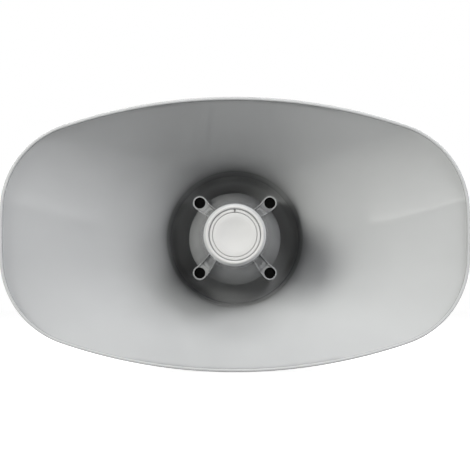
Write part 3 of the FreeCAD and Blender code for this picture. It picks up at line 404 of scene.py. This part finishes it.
def lipRing(inset, depth):
    sizes = flareSizes
    return oblongRing(sizes["mouthWidth"] / 2 - inset, sizes["mouthHeight"] / 2 - inset,
                      sizes["mouthCorner"] - inset, sizes["crownAngle"], sizes["flankAngle"], depth)


def bellSpread(share):  # straight walls that turn into the neck over the last share of the depth
    steepness = 1 / (1 - flareSizes["turn"] / 2)
    left = 1 - share
    if left > flareSizes["turn"]:
        return 1 - steepness * share
    return steepness * left ** 2 / (2 * flareSizes["turn"])


def bellRing(share, shift, grow):
    sizes = flareSizes
    innerWidth = sizes["mouthWidth"] / 2 - sizes["lip"]
    innerHeight = sizes["mouthHeight"] / 2 - sizes["lip"]
    halfWidth = sizes["neckRadius"] + (innerWidth - sizes["neckRadius"]) * bellSpread(share)
    halfHeight = sizes["neckRadius"] + (innerHeight - sizes["neckRadius"]) * bellSpread(share)
    fullness = (sizes["mouthCorner"] - sizes["lip"]) / innerHeight
    corner = halfHeight * (fullness + (1 - fullness) * share)
    crown = sizes["crownAngle"] + (sizes["neckAngle"] - sizes["crownAngle"]) * share
    flank = sizes["flankAngle"] + (sizes["neckAngle"] - sizes["flankAngle"]) * share
    depth = sizes["lipDepth"] + (sizes["neckDepth"] - sizes["lipDepth"]) * share
    return oblongRing(halfWidth + grow, halfHeight + grow, corner + grow, crown, flank, depth + shift)


def roundRing(radius, depth):
    angle = flareSizes["neckAngle"]
    return oblongRing(radius, radius, radius, angle, angle, depth)


def buildFlare():
    sizes = flareSizes
    lip, rounding, softEdge = sizes["lip"], sizes["lipRounding"], sizes["softEdge"]
    lipRear = sizes["lipDepth"] + sizes["wallBack"]
    shares = [step / sizes["bellRings"] for step in range(sizes["bellRings"] + 1)]
    outerEdge = arcSteps((0, 0), rounding, 0, 90, sizes["roundingSteps"])
    innerEdge = arcSteps((0, 0), rounding, 90, 0, sizes["roundingSteps"])
    rings = [lipRing(softEdge, lipRear), lipRing(0, lipRear - softEdge)]
    rings += [lipRing(0, lipRear - sizes["lipBand"])]
    rings += [lipRing(rounding - x, rounding - z) for x, z in outerEdge]
    rings += [lipRing(lip - rounding + x, rounding - z) for x, z in innerEdge]
    rings += [lipRing(lip, sizes["lipDepth"] * share) for share in sizes["lipShares"]]
    rings += [bellRing(share, 0, 0) for share in shares]
    neck, neckTaper, floorTurn = sizes["neckRadius"], sizes["neckTaper"], sizes["floorRounding"]
    neckLength = sizes["floorDepth"] - floorTurn - sizes["neckDepth"]
    rings += [roundRing(neck - neckTaper * share, sizes["neckDepth"] + neckLength * share)
              for share in sizes["neckShares"]]
    rings += [roundRing(neck - neckTaper - floorTurn + x, sizes["floorDepth"] - floorTurn + z)
              for x, z in arcSteps((0, 0), floorTurn, sizes["floorTurn"], 90, sizes["floorSteps"])]
    collar, collarEdge = sizes["collarHole"], sizes["collarEdge"]
    rings += [roundRing(sizes["floorMiddle"], sizes["floorDepth"]),
              roundRing(collar + collarEdge, sizes["floorDepth"]),
              roundRing(collar, sizes["floorDepth"] + collarEdge),
              roundRing(collar, sizes["floorRear"] - collarEdge),
              roundRing(collar + collarEdge, sizes["floorRear"]),
              roundRing(sizes["floorMiddle"], sizes["floorRear"]),
              roundRing(sizes["flangeRadius"] - sizes["flangeRearEdge"], sizes["floorRear"])]
    flangeFront = sizes["floorRear"] - sizes["flangeLength"]
    outside, taper = neck + sizes["wallOut"], neckTaper / 2
    sleeve = sizes["neckDepth"] + sizes["wallBack"] - flangeFront
    rings += [roundRing(sizes["flangeRadius"], sizes["floorRear"] - sizes["flangeRearEdge"]),
              roundRing(sizes["flangeRadius"], flangeFront + sizes["flangeFrontEdge"]),
              roundRing(outside - taper + softEdge, flangeFront)]
    rings += [roundRing(outside - taper * share, flangeFront + sleeve * (1 - share))
              for share in sizes["sleeveShares"]]
    rings += [bellRing(share, sizes["wallBack"], sizes["wallOut"]) for share in reversed(shares)]
    piece = drawnShell("flareShell", rings, closed=True)
    smoothShading(sizes["smoothAngle"])
    finishPiece(piece, "horn", "flare_plastic", "horn_flare")


buildFlare()
print("flare drawn")


# Turned pieces: rings about a centre, from steps of radius, place along the axis and depth of the flutes

def plainSteps(profile, start):  # steps without flutes, from pairs of radius and distance from the start
    return [(radius, start + distance, 0) for radius, distance in profile]


def turnedShell(name, centre, axis, steps, closed, points=96, flutes=0):
    rings = []
    for radius, along, depth in steps:
        ring = []
        for count in range(points):
            angle = 2 * math.pi * count / points
            reach = radius - depth * (0.5 - 0.5 * math.cos(flutes * angle))
            across, upward = centre[0] + reach * math.sin(angle), centre[1] + reach * math.cos(angle)
            ring.append(Vector((across, along, upward) if axis == "Y" else (across, upward, along)))
        rings.append(ring)
    piece = drawnShell(name, rings, closed)
    smoothShading()
    return piece


def bevelledBar(name, size, middle, width, segments=3):
    nothingSelected()
    bpy.ops.mesh.primitive_cube_add(size=1)
    piece = bpy.context.object
    piece.name = name
    bpy.ops.object.mode_set(mode="EDIT")
    bpy.ops.mesh.select_all(action="SELECT")
    bpy.ops.transform.resize(value=size)
    bpy.ops.mesh.bevel(offset=width, segments=segments, affect="EDGES")
    bpy.ops.transform.translate(value=middle)
    bpy.ops.object.mode_set(mode="OBJECT")
    smoothShading()
    return piece


def copiesAround(piece, centre, angles):  # each angle in degrees from straight up, towards +X
    pieces = []
    for count, angle in enumerate(angles):
        nothingSelected()
        piece.select_set(True)
        bpy.context.view_layer.objects.active = piece
        bpy.ops.object.duplicate()
        copy = bpy.context.object
        copy.name = piece.name + "_" + str(count + 1)
        bpy.ops.object.mode_set(mode="EDIT")
        bpy.ops.mesh.select_all(action="SELECT")
        bpy.ops.transform.rotate(value=-math.radians(angle), orient_axis="Y", center_override=centre)
        bpy.ops.object.mode_set(mode="OBJECT")
        pieces.append(copy)
    bpy.data.objects.remove(piece)
    return pieces


# Nose of the cup: the bare disc with its shallow round dish

discLow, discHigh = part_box("front_disc")
discSizes = {
    "radius": 0.02335, "edge": 0.0007, "edgeTurn": 15, "edgeSteps": 5,
    "rearEdge": 0.0010, "rearBand": 0.0002,
    "rimInner": 0.0178, "rimSlope": 0.0004, "rimCorner": 0.0001,
    "step": 0.0003, "dish": 0.0170, "dishDepth": 0.0024, "dishRings": 14,
    "beadInner": 0.0278, "beadOuter": 0.0308, "beadRise": 0.0009, "beadSink": 0.0016, "beadSteps": 14,
    "points": 144,
}


def buildDisc():
    sizes = discSizes
    front, rear, radius, edge = discLow[1], discHigh[1], sizes["radius"], sizes["edge"]
    rim, corner = sizes["rimInner"], sizes["rimCorner"]
    steps = [(radius - sizes["rearEdge"], rear, 0), (radius, rear - sizes["rearBand"], 0),
             (radius, front + edge, 0)]
    steps += [(radius - edge + across, front + edge - out, 0)
              for across, out in arcSteps((0, 0), edge, sizes["edgeTurn"], 90, sizes["edgeSteps"])]
    steps += [(rim + sizes["rimSlope"], front, 0), (rim + corner, front + corner, 0),
              (sizes["dish"] + corner, front + sizes["step"], 0)]
    for ring in range(sizes["dishRings"]):
        share = 1 - ring / sizes["dishRings"]
        sink = sizes["step"] + sizes["dishDepth"] * (1 - share ** 2)
        steps.append((sizes["dish"] * share, front + sink, 0))
    disc = turnedShell("noseDisc", (0.0, axisZ), "Y", steps, closed=False, points=sizes["points"])
    finishPiece(disc, "horn", "cap_plastic", "front_disc")


def buildBead():  # the bright crowned ring round the cap
    sizes = discSizes
    nose, inner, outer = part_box("reflex_cup")[0][1], sizes["beadInner"], sizes["beadOuter"]
    middle, half = (inner + outer) / 2, (outer - inner) / 2
    steps = [(inner, nose + sizes["beadSink"], 0)]
    steps += [(middle - half * across, nose - sizes["beadRise"] * out, 0)
              for across, out in arcSteps((0, 0), 1, 0, 180, sizes["beadSteps"])]
    steps += [(outer, nose + sizes["beadSink"], 0)]
    bead = turnedShell("noseBead", (0.0, axisZ), "Y", steps, closed=True, points=sizes["points"])
    finishPiece(bead, "horn", "cap_plastic")


buildDisc()
buildBead()
print("nose drawn")


# Floors of the four lug channels, between the webs that run from the cup out to each screw tunnel

lugSizes = {
    "circle": 0.0550, "hole": 0.00615, "holeSpread": 74, "start": 0.0340, "rootHalfWidth": 0.0036,
    "webStart": 0.0330, "webReach": 0.0143, "webDepth": 0.0260, "webLength": 0.0940,
    "sink": 0.0135, "frontDepth": 0.1212, "thickness": 0.0012, "columns": 16, "rows": 24,
    "angles": (45, 135, 225, 315),
}


def buildLugFloors():
    sizes = lugSizes
    nothingSelected()
    bpy.ops.mesh.primitive_grid_add(x_subdivisions=sizes["columns"], y_subdivisions=sizes["rows"], size=2)
    floor = bpy.context.object
    floor.name = "lugFloor"
    bpy.ops.object.mode_set(mode="EDIT")
    mesh = bmesh.from_edit_mesh(floor.data)
    for vertex in mesh.verts:
        side, share = vertex.co.x, (vertex.co.y + 1) / 2
        angle = math.radians(sizes["holeSpread"] * side)
        endOut = sizes["circle"] - sizes["hole"] * math.cos(angle)
        endSide = sizes["hole"] * math.sin(angle)
        out = sizes["start"] + (endOut - sizes["start"]) * share
        across = sizes["rootHalfWidth"] * side + (endSide - sizes["rootHalfWidth"] * side) * share
        along = (out - sizes["webStart"]) / sizes["webReach"]
        slope = sizes["webDepth"] + sizes["sink"] + sizes["webLength"] * along
        vertex.co = (across, atDepth(min(sizes["frontDepth"], slope)), axisZ + out)
    bmesh.update_edit_mesh(floor.data)
    bpy.ops.mesh.select_all(action="SELECT")
    bpy.ops.mesh.normals_make_consistent(inside=False)
    bpy.ops.object.mode_set(mode="OBJECT")
    solid = floor.modifiers.new("thickness", "SOLIDIFY")
    solid.thickness = sizes["thickness"]
    bpy.ops.object.modifier_apply(modifier="thickness")
    smoothShading()
    for copy in copiesAround(floor, (0, 0, axisZ), sizes["angles"]):
        finishPiece(copy, "horn", "cup_plastic")


buildLugFloors()
print("lug floors drawn")


# Tap selector: fluted knob with a pale pointer, and the dial round its recess

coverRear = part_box("rear_cover")[1][1]
dialSizes = {
    "drop": 0.0340, "positions": (0, 30, 60, 90, 120), "bevel": 0.0002,
    "bezelProfile": (  # radius, rise over the cover's back
        (0.0192, -0.0006), (0.0192, 0.0003), (0.0194, 0.0005),
        (0.0203, 0.0005), (0.0207, 0.0003), (0.0208, -0.0006),
    ),
    "tickWidth": 0.0009, "tickThickness": 0.0010, "tickLength": 0.0028,
    "tickCircle": 0.0232, "tickRise": 0.0003,
    "numberCircle": 0.0275, "numberSize": 0.0050, "numberRise": 0.0003, "mergeDistance": 0.000002,
    "knobSeat": 0.0056, "knobHeight": 0.0095, "knobPoints": 144, "spindle": 0.0030, "spindleDepth": 0.0155,
    "flute": 0.0008, "flutes": 18,
    "knobProfile": (  # radius, height over the seat, share of the flutes' depth
        (0.0102, 0, 0), (0.0106, 0.0002, 0), (0.0108, 0.0006, 0), (0.0108, 0.0018, 0), (0.0105, 0.0021, 0),
        (0.0100, 0.0023, 0.4), (0.0099, 0.0027, 1), (0.0097, 0.0080, 1), (0.0095, 0.0087, 0.8),
        (0.0091, 0.0093, 0.4), (0.0086, 0.0095, 0), (0.0077, 0.0095, 0), (0.0074, 0.0093, 0),
        (0.0071, 0.0088, 0), (0.0066, 0.0087, 0),
    ),
    "pointerWidth": 0.0015, "pointerThickness": 0.0016, "pointerLength": 0.0088, "pointerStart": 0.0006,
    "pointerRise": 0.0005,
}
dialCentre = (0.0, axisZ - dialSizes["drop"])


def buildKnob():
    sizes = dialSizes
    seat = coverRear - sizes["knobSeat"]
    steps = [(sizes["spindle"], coverRear - sizes["spindleDepth"], 0), (sizes["spindle"], seat, 0)]
    steps += [(radius, seat + height, sizes["flute"] * share)
              for radius, height, share in sizes["knobProfile"]]
    knob = turnedShell("selectorKnob", dialCentre, "Y", steps, closed=False, points=sizes["knobPoints"],
                       flutes=sizes["flutes"])
    finishPiece(knob, "selector", "black_plastic", "tap_selector_knob")
    length, thickness = sizes["pointerLength"], sizes["pointerThickness"]
    middleY = seat + sizes["knobHeight"] + sizes["pointerRise"] - thickness / 2
    middleZ = dialCentre[1] + sizes["pointerStart"] + length / 2
    pointer = bevelledBar("selectorPointer", (sizes["pointerWidth"], thickness, length),
                          (dialCentre[0], middleY, middleZ), sizes["bevel"])
    finishPiece(pointer, "selector", "cap_plastic")


def buildDial():
    sizes = dialSizes
    steps = plainSteps(sizes["bezelProfile"], coverRear)
    bezel = turnedShell("dialBezel", dialCentre, "Y", steps, closed=True)
    finishPiece(bezel, "horn", "housing_plastic")
    tickSize = (sizes["tickWidth"], sizes["tickThickness"], sizes["tickLength"])
    middleY = coverRear + sizes["tickRise"] - sizes["tickThickness"] / 2
    tick = bevelledBar("dialTick", tickSize, (dialCentre[0], middleY, dialCentre[1] + sizes["tickCircle"]),
                       sizes["bevel"])
    for mark in copiesAround(tick, (dialCentre[0], 0, dialCentre[1]), sizes["positions"]):
        finishPiece(mark, "horn", "black_plastic")
    for count, angle in enumerate(reversed(sizes["positions"])):
        nothingSelected()
        reach, turn = sizes["numberCircle"], math.radians(angle)
        place = (reach * math.sin(turn), coverRear, dialCentre[1] + reach * math.cos(turn))
        bpy.ops.object.text_add(location=place, rotation=(math.pi / 2, 0, math.pi))
        number = bpy.context.object
        number.name = "dialNumber_" + str(count + 1)
        number.data.body = str(count + 1)
        number.data.size = sizes["numberSize"]
        number.data.extrude = sizes["numberRise"]
        number.data.align_x = number.data.align_y = "CENTER"
        bpy.ops.object.convert(target="MESH")
        bpy.ops.object.transform_apply(location=True, rotation=True, scale=True)
        bpy.ops.object.mode_set(mode="EDIT")
        bpy.ops.mesh.select_all(action="SELECT")
        bpy.ops.mesh.remove_doubles(threshold=sizes["mergeDistance"])
        bpy.ops.mesh.normals_make_consistent(inside=False)
        bpy.ops.object.mode_set(mode="OBJECT")
        finishPiece(bpy.context.object, "horn", "black_plastic")


buildKnob()
buildDial()
print("selector drawn")


# Rear cover and housing: raised bands, a rim on the cover's back, and stiffening ribs

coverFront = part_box("rear_cover")[0][1]
shellSizes = {
    "bands": (0.0034, 0.0080, 0.0126), "points": 192,
    "bandProfile": (  # radius, distance behind the band's start
        (0.0765, 0), (0.0773, 0.0001), (0.0776, 0.0005),
        (0.0776, 0.0017), (0.0773, 0.0021), (0.0765, 0.0022),
    ),
    "rimProfile": (  # radius, rise over the cover's back
        (0.0556, -0.0006), (0.0557, 0.0003), (0.0559, 0.0005),
        (0.0565, 0.0005), (0.0567, 0.0003), (0.0568, -0.0006),
    ),
    "radius": 0.0770, "ribSink": 0.0010, "ribWidth": 0.0024, "ribLength": 0.0500, "ribRise": 0.0012,
    "ribStart": 0.0100, "ribBevel": 0.0006, "bevelSegments": 4,
    "ribAngles": (-38, -25, -12, 0, 12, 25, 38, 142, 155, 168, 180, 192, 205, 218),
}


def buildBands():
    sizes = shellSizes
    for count, place in enumerate(sizes["bands"]):
        steps = plainSteps(sizes["bandProfile"], coverFront + place)
        band = turnedShell("coverBand_" + str(count + 1), (0.0, axisZ), "Y", steps, closed=True,
                           points=sizes["points"])
        finishPiece(band, "horn", "housing_plastic")
    steps = plainSteps(sizes["rimProfile"], coverRear)
    rim = turnedShell("coverRim", (0.0, axisZ), "Y", steps, closed=True, points=sizes["points"])
    finishPiece(rim, "horn", "housing_plastic")


def buildRibs():
    sizes = shellSizes
    height = sizes["ribRise"] + sizes["ribSink"]
    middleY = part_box("pivot_housing")[0][1] + sizes["ribStart"] + sizes["ribLength"] / 2
    rib = bevelledBar("housingRib", (sizes["ribWidth"], sizes["ribLength"], height),
                      (0, middleY, axisZ + sizes["radius"] + sizes["ribRise"] - height / 2),
                      sizes["ribBevel"], sizes["bevelSegments"])
    for copy in copiesAround(rib, (0, 0, axisZ), sizes["ribAngles"]):
        finishPiece(copy, "horn", "housing_plastic")


buildBands()
buildRibs()
print("housing details drawn")


# Bracket: one steel strap bent to a U, its edges rounded, with pivot holes and three holes in its foot

bracketSizes = {
    "inner": 0.0896, "outer": 0.0936, "halfWidth": 0.0200, "edge": 0.0008, "edgeSteps": 4, "sideSteps": 6,
    "bend": 0.0140, "bendSteps": 14, "endAngle": 87, "endSteps": 16, "footSteps": 16, "armSteps": 10,
    "pivotHole": 0.00408, "footHole": 0.0055, "holeSteps": 16, "cutMargin": 0.0020,
    "slotRadius": 0.0045, "slotRun": 0.0070, "slotSpacing": 0.1100,
}


def strapRing(across, upward, normal, halfWidth):  # a rounded oblong, square to the strap's path
    sizes = bracketSizes
    half = (sizes["outer"] - sizes["inner"]) / 2
    edge, squash = sizes["edge"], min(1, halfWidth / (2 * sizes["edge"]))
    corner = arcSteps((0, 0), edge, 0, 90, sizes["edgeSteps"])
    long, short = halfWidth - edge * squash, half - edge
    outline = [(long + y * squash, short + t) for y, t in corner]
    outline += [(long * (1 - 2 * step / sizes["sideSteps"]), half)
                for step in range(1, sizes["sideSteps"])]
    outline += [(-long - y * squash, short + t) for y, t in reversed(corner)]
    outline += [(-y, -t) for y, t in outline]
    return [Vector((across + normal[0] * t, y, upward + normal[1] * t)) for y, t in outline]


def strapArm(side):  # from the round end down to the foot
    sizes = bracketSizes
    middle = (sizes["inner"] + sizes["outer"]) / 2
    half = (sizes["outer"] - sizes["inner"]) / 2
    turns = [math.radians(sizes["endAngle"] * (1 - step / sizes["endSteps"]))
             for step in range(sizes["endSteps"])]
    rings = [strapRing(side * middle, axisZ + sizes["halfWidth"] * math.sin(turn), (side, 0),
                       sizes["halfWidth"] * math.cos(turn)) for turn in turns]
    low = sizes["bend"] + half
    for step in range(sizes["armSteps"] + 1):
        rings.append(strapRing(side * middle, axisZ + (low - axisZ) * step / sizes["armSteps"], (side, 0),
                               sizes["halfWidth"]))
    for step in range(1, sizes["bendSteps"] + 1):
        turn = math.pi / 2 * step / sizes["bendSteps"]
        across = side * (middle - sizes["bend"] * (1 - math.cos(turn)))
        rings.append(strapRing(across, low - sizes["bend"] * math.sin(turn),
                               (side * math.cos(turn), -math.sin(turn)), sizes["halfWidth"]))
    return rings


def cutHole(piece, rings):
    cutter = drawnShell("cutter", rings, closed=False)
    nothingSelected()
    bpy.context.view_layer.objects.active = piece
    hole = piece.modifiers.new("hole", "BOOLEAN")
    hole.operation, hole.solver, hole.object = "DIFFERENCE", "EXACT", cutter
    bpy.ops.object.modifier_apply(modifier="hole")
    bpy.data.objects.remove(cutter)


def holeOutline(radius, run):
    right = [(run / 2 + y, z) for y, z in arcSteps((0, 0), radius, -90, 90, bracketSizes["holeSteps"])]
    return right + [(-y, -z) for y, z in right]


def buildBracket():
    sizes = bracketSizes
    left = strapArm(-1)
    reach = (sizes["inner"] + sizes["outer"]) / 2 - sizes["bend"]
    half, margin = (sizes["outer"] - sizes["inner"]) / 2, sizes["cutMargin"]
    right = [[Vector((-point.x, point.y, point.z)) for point in ring] for ring in reversed(left)]
    foot = [strapRing(reach * (2 * step / sizes["footSteps"] - 1), half, (0, -1), sizes["halfWidth"])
            for step in range(1, sizes["footSteps"])]
    strap = drawnShell("bracketStrap", left + foot + right, closed=False)
    pivotOutline = holeOutline(sizes["pivotHole"], 0)
    for side in (-1, 1):
        cutHole(strap, [[Vector((side * place, y, axisZ + z)) for y, z in pivotOutline]
                        for place in (sizes["inner"] - margin, sizes["outer"] + margin)])
    holes = [(0, sizes["footHole"], 0)]
    holes += [(side * sizes["slotSpacing"] / 2, sizes["slotRadius"], sizes["slotRun"])
              for side in (-1, 1)]
    for place, radius, run in holes:
        cutHole(strap, [[Vector((place + x, y, z)) for x, y in holeOutline(radius, run)]
                        for z in (-margin, 2 * half + margin)])
    nothingSelected()
    strap.select_set(True)
    bpy.context.view_layer.objects.active = strap
    smoothShading()
    finishPiece(strap, "bracket", "bracket_paint", "bracket")


buildBracket()
print("bracket drawn")


# Driver: the rolled surround, clear of the coil that moves through it

filmSizes = {
    "inner": 0.0198, "outer": 0.0360, "thickness": 0.0004, "roll": 0.02385, "rollOuter": 0.0016,
    "rollInner": 0.0012, "rollSetback": 0.0008, "rollSteps": 12, "points": 144,
}


def buildSurround():
    sizes = filmSizes
    roll, rollSteps = sizes["roll"], sizes["rollSteps"]
    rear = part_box("surround")[1][1]
    front = rear - sizes["thickness"]
    centre = front + sizes["rollSetback"]
    outerTurn = math.degrees(math.asin((centre - front) / sizes["rollOuter"]))
    innerTurn = math.degrees(math.asin((centre - rear) / sizes["rollInner"]))
    outerArc = arcSteps((0, 0), sizes["rollOuter"], outerTurn, 180 - outerTurn, rollSteps)
    innerArc = arcSteps((0, 0), sizes["rollInner"], innerTurn, 180 - innerTurn, rollSteps)
    steps = [(sizes["inner"], front, 0)]
    steps += [(roll - across, centre - out, 0) for across, out in outerArc]
    steps += [(sizes["outer"], front, 0), (sizes["outer"], rear, 0)]
    steps += [(roll + across, centre - out, 0) for across, out in innerArc]
    steps += [(sizes["inner"], rear, 0)]
    film = turnedShell("surroundFilm", (0.0, axisZ), "Y", steps, closed=True, points=sizes["points"])
    finishPiece(film, "horn", "dome_film", "surround")


buildSurround()
print("surround drawn")


# Cable gland: the fluted dome nut under the rear cover

nutLow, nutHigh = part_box("gland_nut")
nutSizes = {
    "flute": 0.0009, "flutes": 16, "points": 160,
    "seatProfile": (  # radius, distance below the seat, share of the flutes' depth
        (0.0082, 0, 0), (0.0099, 0, 0), (0.0103, 0.0002, 0), (0.0105, 0.0006, 0.2), (0.0105, 0.0010, 1),
    ),
    "tipProfile": (  # radius, height over the tip, share of the flutes' depth
        (0.0105, 0.0062, 1), (0.0102, 0.0044, 0.8), (0.0096, 0.0026, 0.5), (0.0086, 0.0010, 0.2),
        (0.0074, 0.0001, 0), (0.0062, 0, 0), (0.0057, 0.0002, 0), (0.0056, 0.0006, 0), (0.0056, 0.0028, 0),
        (0.0082, 0.0050, 0),
    ),
}


def buildGlandNut():
    sizes = nutSizes
    tip, seat, flute = nutLow[2], nutHigh[2], sizes["flute"]
    steps = [(radius, seat - distance, flute * share) for radius, distance, share in sizes["seatProfile"]]
    steps += [(radius, tip + height, flute * share) for radius, height, share in sizes["tipProfile"]]
    nut = turnedShell("glandDomeNut", (0.0, (nutLow[1] + nutHigh[1]) / 2), "Z", steps, closed=True,
                      points=sizes["points"], flutes=sizes["flutes"])
    finishPiece(nut, "horn", "black_plastic", "gland_nut")


buildGlandNut()
print("gland nut drawn")


# Studio: floor, lights, camera

studio = {
    "floorSize": 12.0, "floorGrey": 0.42,
    "nearGlow": 0.84, "farGlow": 0.95, "glowStart": 0.25, "glowEnd": 0.9,
    "skyGrey": 0.02, "skyGloss": 0.12, "skyShown": 1.0, "aim": (0.0, -0.15, 0.14),
    "mirrored": ("overheadBox", "rearLeftBox", "rearRightBox"),
    "lights": (
        ("overheadBox", (0.0, -0.95, 1.75), 1.2, 0.8, 12, (1.0, 1.0, 1.0)),
        ("keyBox", (0.85, -1.55, 1.35), 0.6, 0.6, 20.4, (1.0, 1.0, 1.0)),
        ("highRightBox", (1.35, -1.10, 1.55), 0.7, 0.7, 10.8, (1.0, 1.0, 1.01)),
        ("leftBox", (-1.50, -1.50, 0.80), 0.7, 0.8, 37, (1.0, 1.0, 0.95)),
        ("rightBox", (1.50, -1.50, 0.80), 0.7, 0.8, 12.0, (1.0, 1.0, 1.01)),
        ("leftSideBox", (-1.80, -0.95, 0.60), 0.7, 1.0, 17, (1.0, 1.0, 0.95)),
        ("rightSideBox", (1.80, -0.95, 0.60), 0.7, 1.0, 7.2, (1.0, 1.0, 1.01)),
        ("rearLeftBox", (-1.1, 1.7, 1.4), 1.2, 1.0, 24, (1.0, 1.0, 1.0)),
        ("rearRightBox", (1.1, 1.7, 1.4), 1.2, 1.0, 24, (1.0, 1.0, 1.0)),
    ),
}


def buildStudio():
    nothingSelected()
    bpy.ops.mesh.primitive_plane_add(size=studio["floorSize"], location=(0, 0, 0))
    floor = bpy.context.object
    floor.name = "studioFloor"
    finish = Finish("paleFloor", Specular_IOR_Level=0.2, Emission_Color=(1, 1, 1, 1))
    cloud = finish.noise(3.0)
    grey = studio["floorGrey"]
    finish.put("Base Color", finish.between(cloud, shade(grey), shade(grey * 1.01)))
    finish.put("Roughness", 0.6 + cloud * 0.1)
    away = finish.add("ShaderNodeVectorMath", {"operation": "LENGTH"}, {0: finish.place}, output=1)
    shown = finish.add("ShaderNodeLightPath")  # the floor's glow is seen and lights nothing
    spread = finish.ramp(away, studio["glowStart"], studio["glowEnd"])
    glow = studio["nearGlow"] + spread * (studio["farGlow"] - studio["nearGlow"])
    finish.put("Emission Strength", shown * glow)
    floor.data.materials.append(finish.material)
    for name, place, width, height, power, colour in studio["lights"]:
        bpy.ops.object.light_add(type="AREA", location=place)
        light = bpy.context.object
        light.name = name
        light.data.shape = "RECTANGLE"
        light.data.size, light.data.size_y = width, height
        light.data.energy, light.data.color = power, colour
        light.visible_glossy = name in studio["mirrored"]
        light.rotation_euler = (Vector(studio["aim"]) - Vector(place)).to_track_quat("-Z", "Y").to_euler()
    world = bpy.data.worlds.new("studioWorld")
    world.use_nodes = True
    nodes, links = world.node_tree.nodes, world.node_tree.links
    path = nodes.new("ShaderNodeLightPath")
    strength = studio["skyGrey"]
    for ray, amount in (("Is Glossy Ray", studio["skyGloss"]), ("Is Camera Ray", studio["skyShown"])):
        step = nodes.new("ShaderNodeMapRange")
        step.inputs["To Max"].default_value = amount
        links.new(path.outputs[ray], step.inputs["Value"])
        if isinstance(strength, float):
            step.inputs["To Min"].default_value = strength
        else:
            links.new(strength, step.inputs["To Min"])
        strength = step.outputs[0]
    links.new(strength, nodes["Background"].inputs["Strength"])
    nodes["Background"].inputs["Color"].default_value = (1, 1, 1, 1)
    bpy.context.scene.world = world
    bpy.context.scene.view_settings.view_transform = "Standard"


cameraSizes = {
    "distance": 1.70, "upward": 2.05, "lens": 125.5, "sensor": 36, "clipEnd": 50,
    "lift": 0.0010, "across": 0.0002,
}


def buildCamera():
    upward = math.radians(cameraSizes["upward"])
    reach = cameraSizes["distance"]
    aimZ = axisZ - cameraSizes["lift"]
    place = (cameraSizes["across"], mouthY - reach, aimZ - reach * math.tan(upward))
    bpy.ops.object.camera_add(location=place, rotation=(math.pi / 2 + upward, 0, 0))
    camera = bpy.context.object
    camera.name = "frontCamera"
    camera.data.lens = cameraSizes["lens"]
    camera.data.sensor_width = cameraSizes["sensor"]
    camera.data.clip_end = cameraSizes["clipEnd"]
    bpy.context.scene.camera = camera


buildStudio()
buildCamera()
print("studio and camera set")
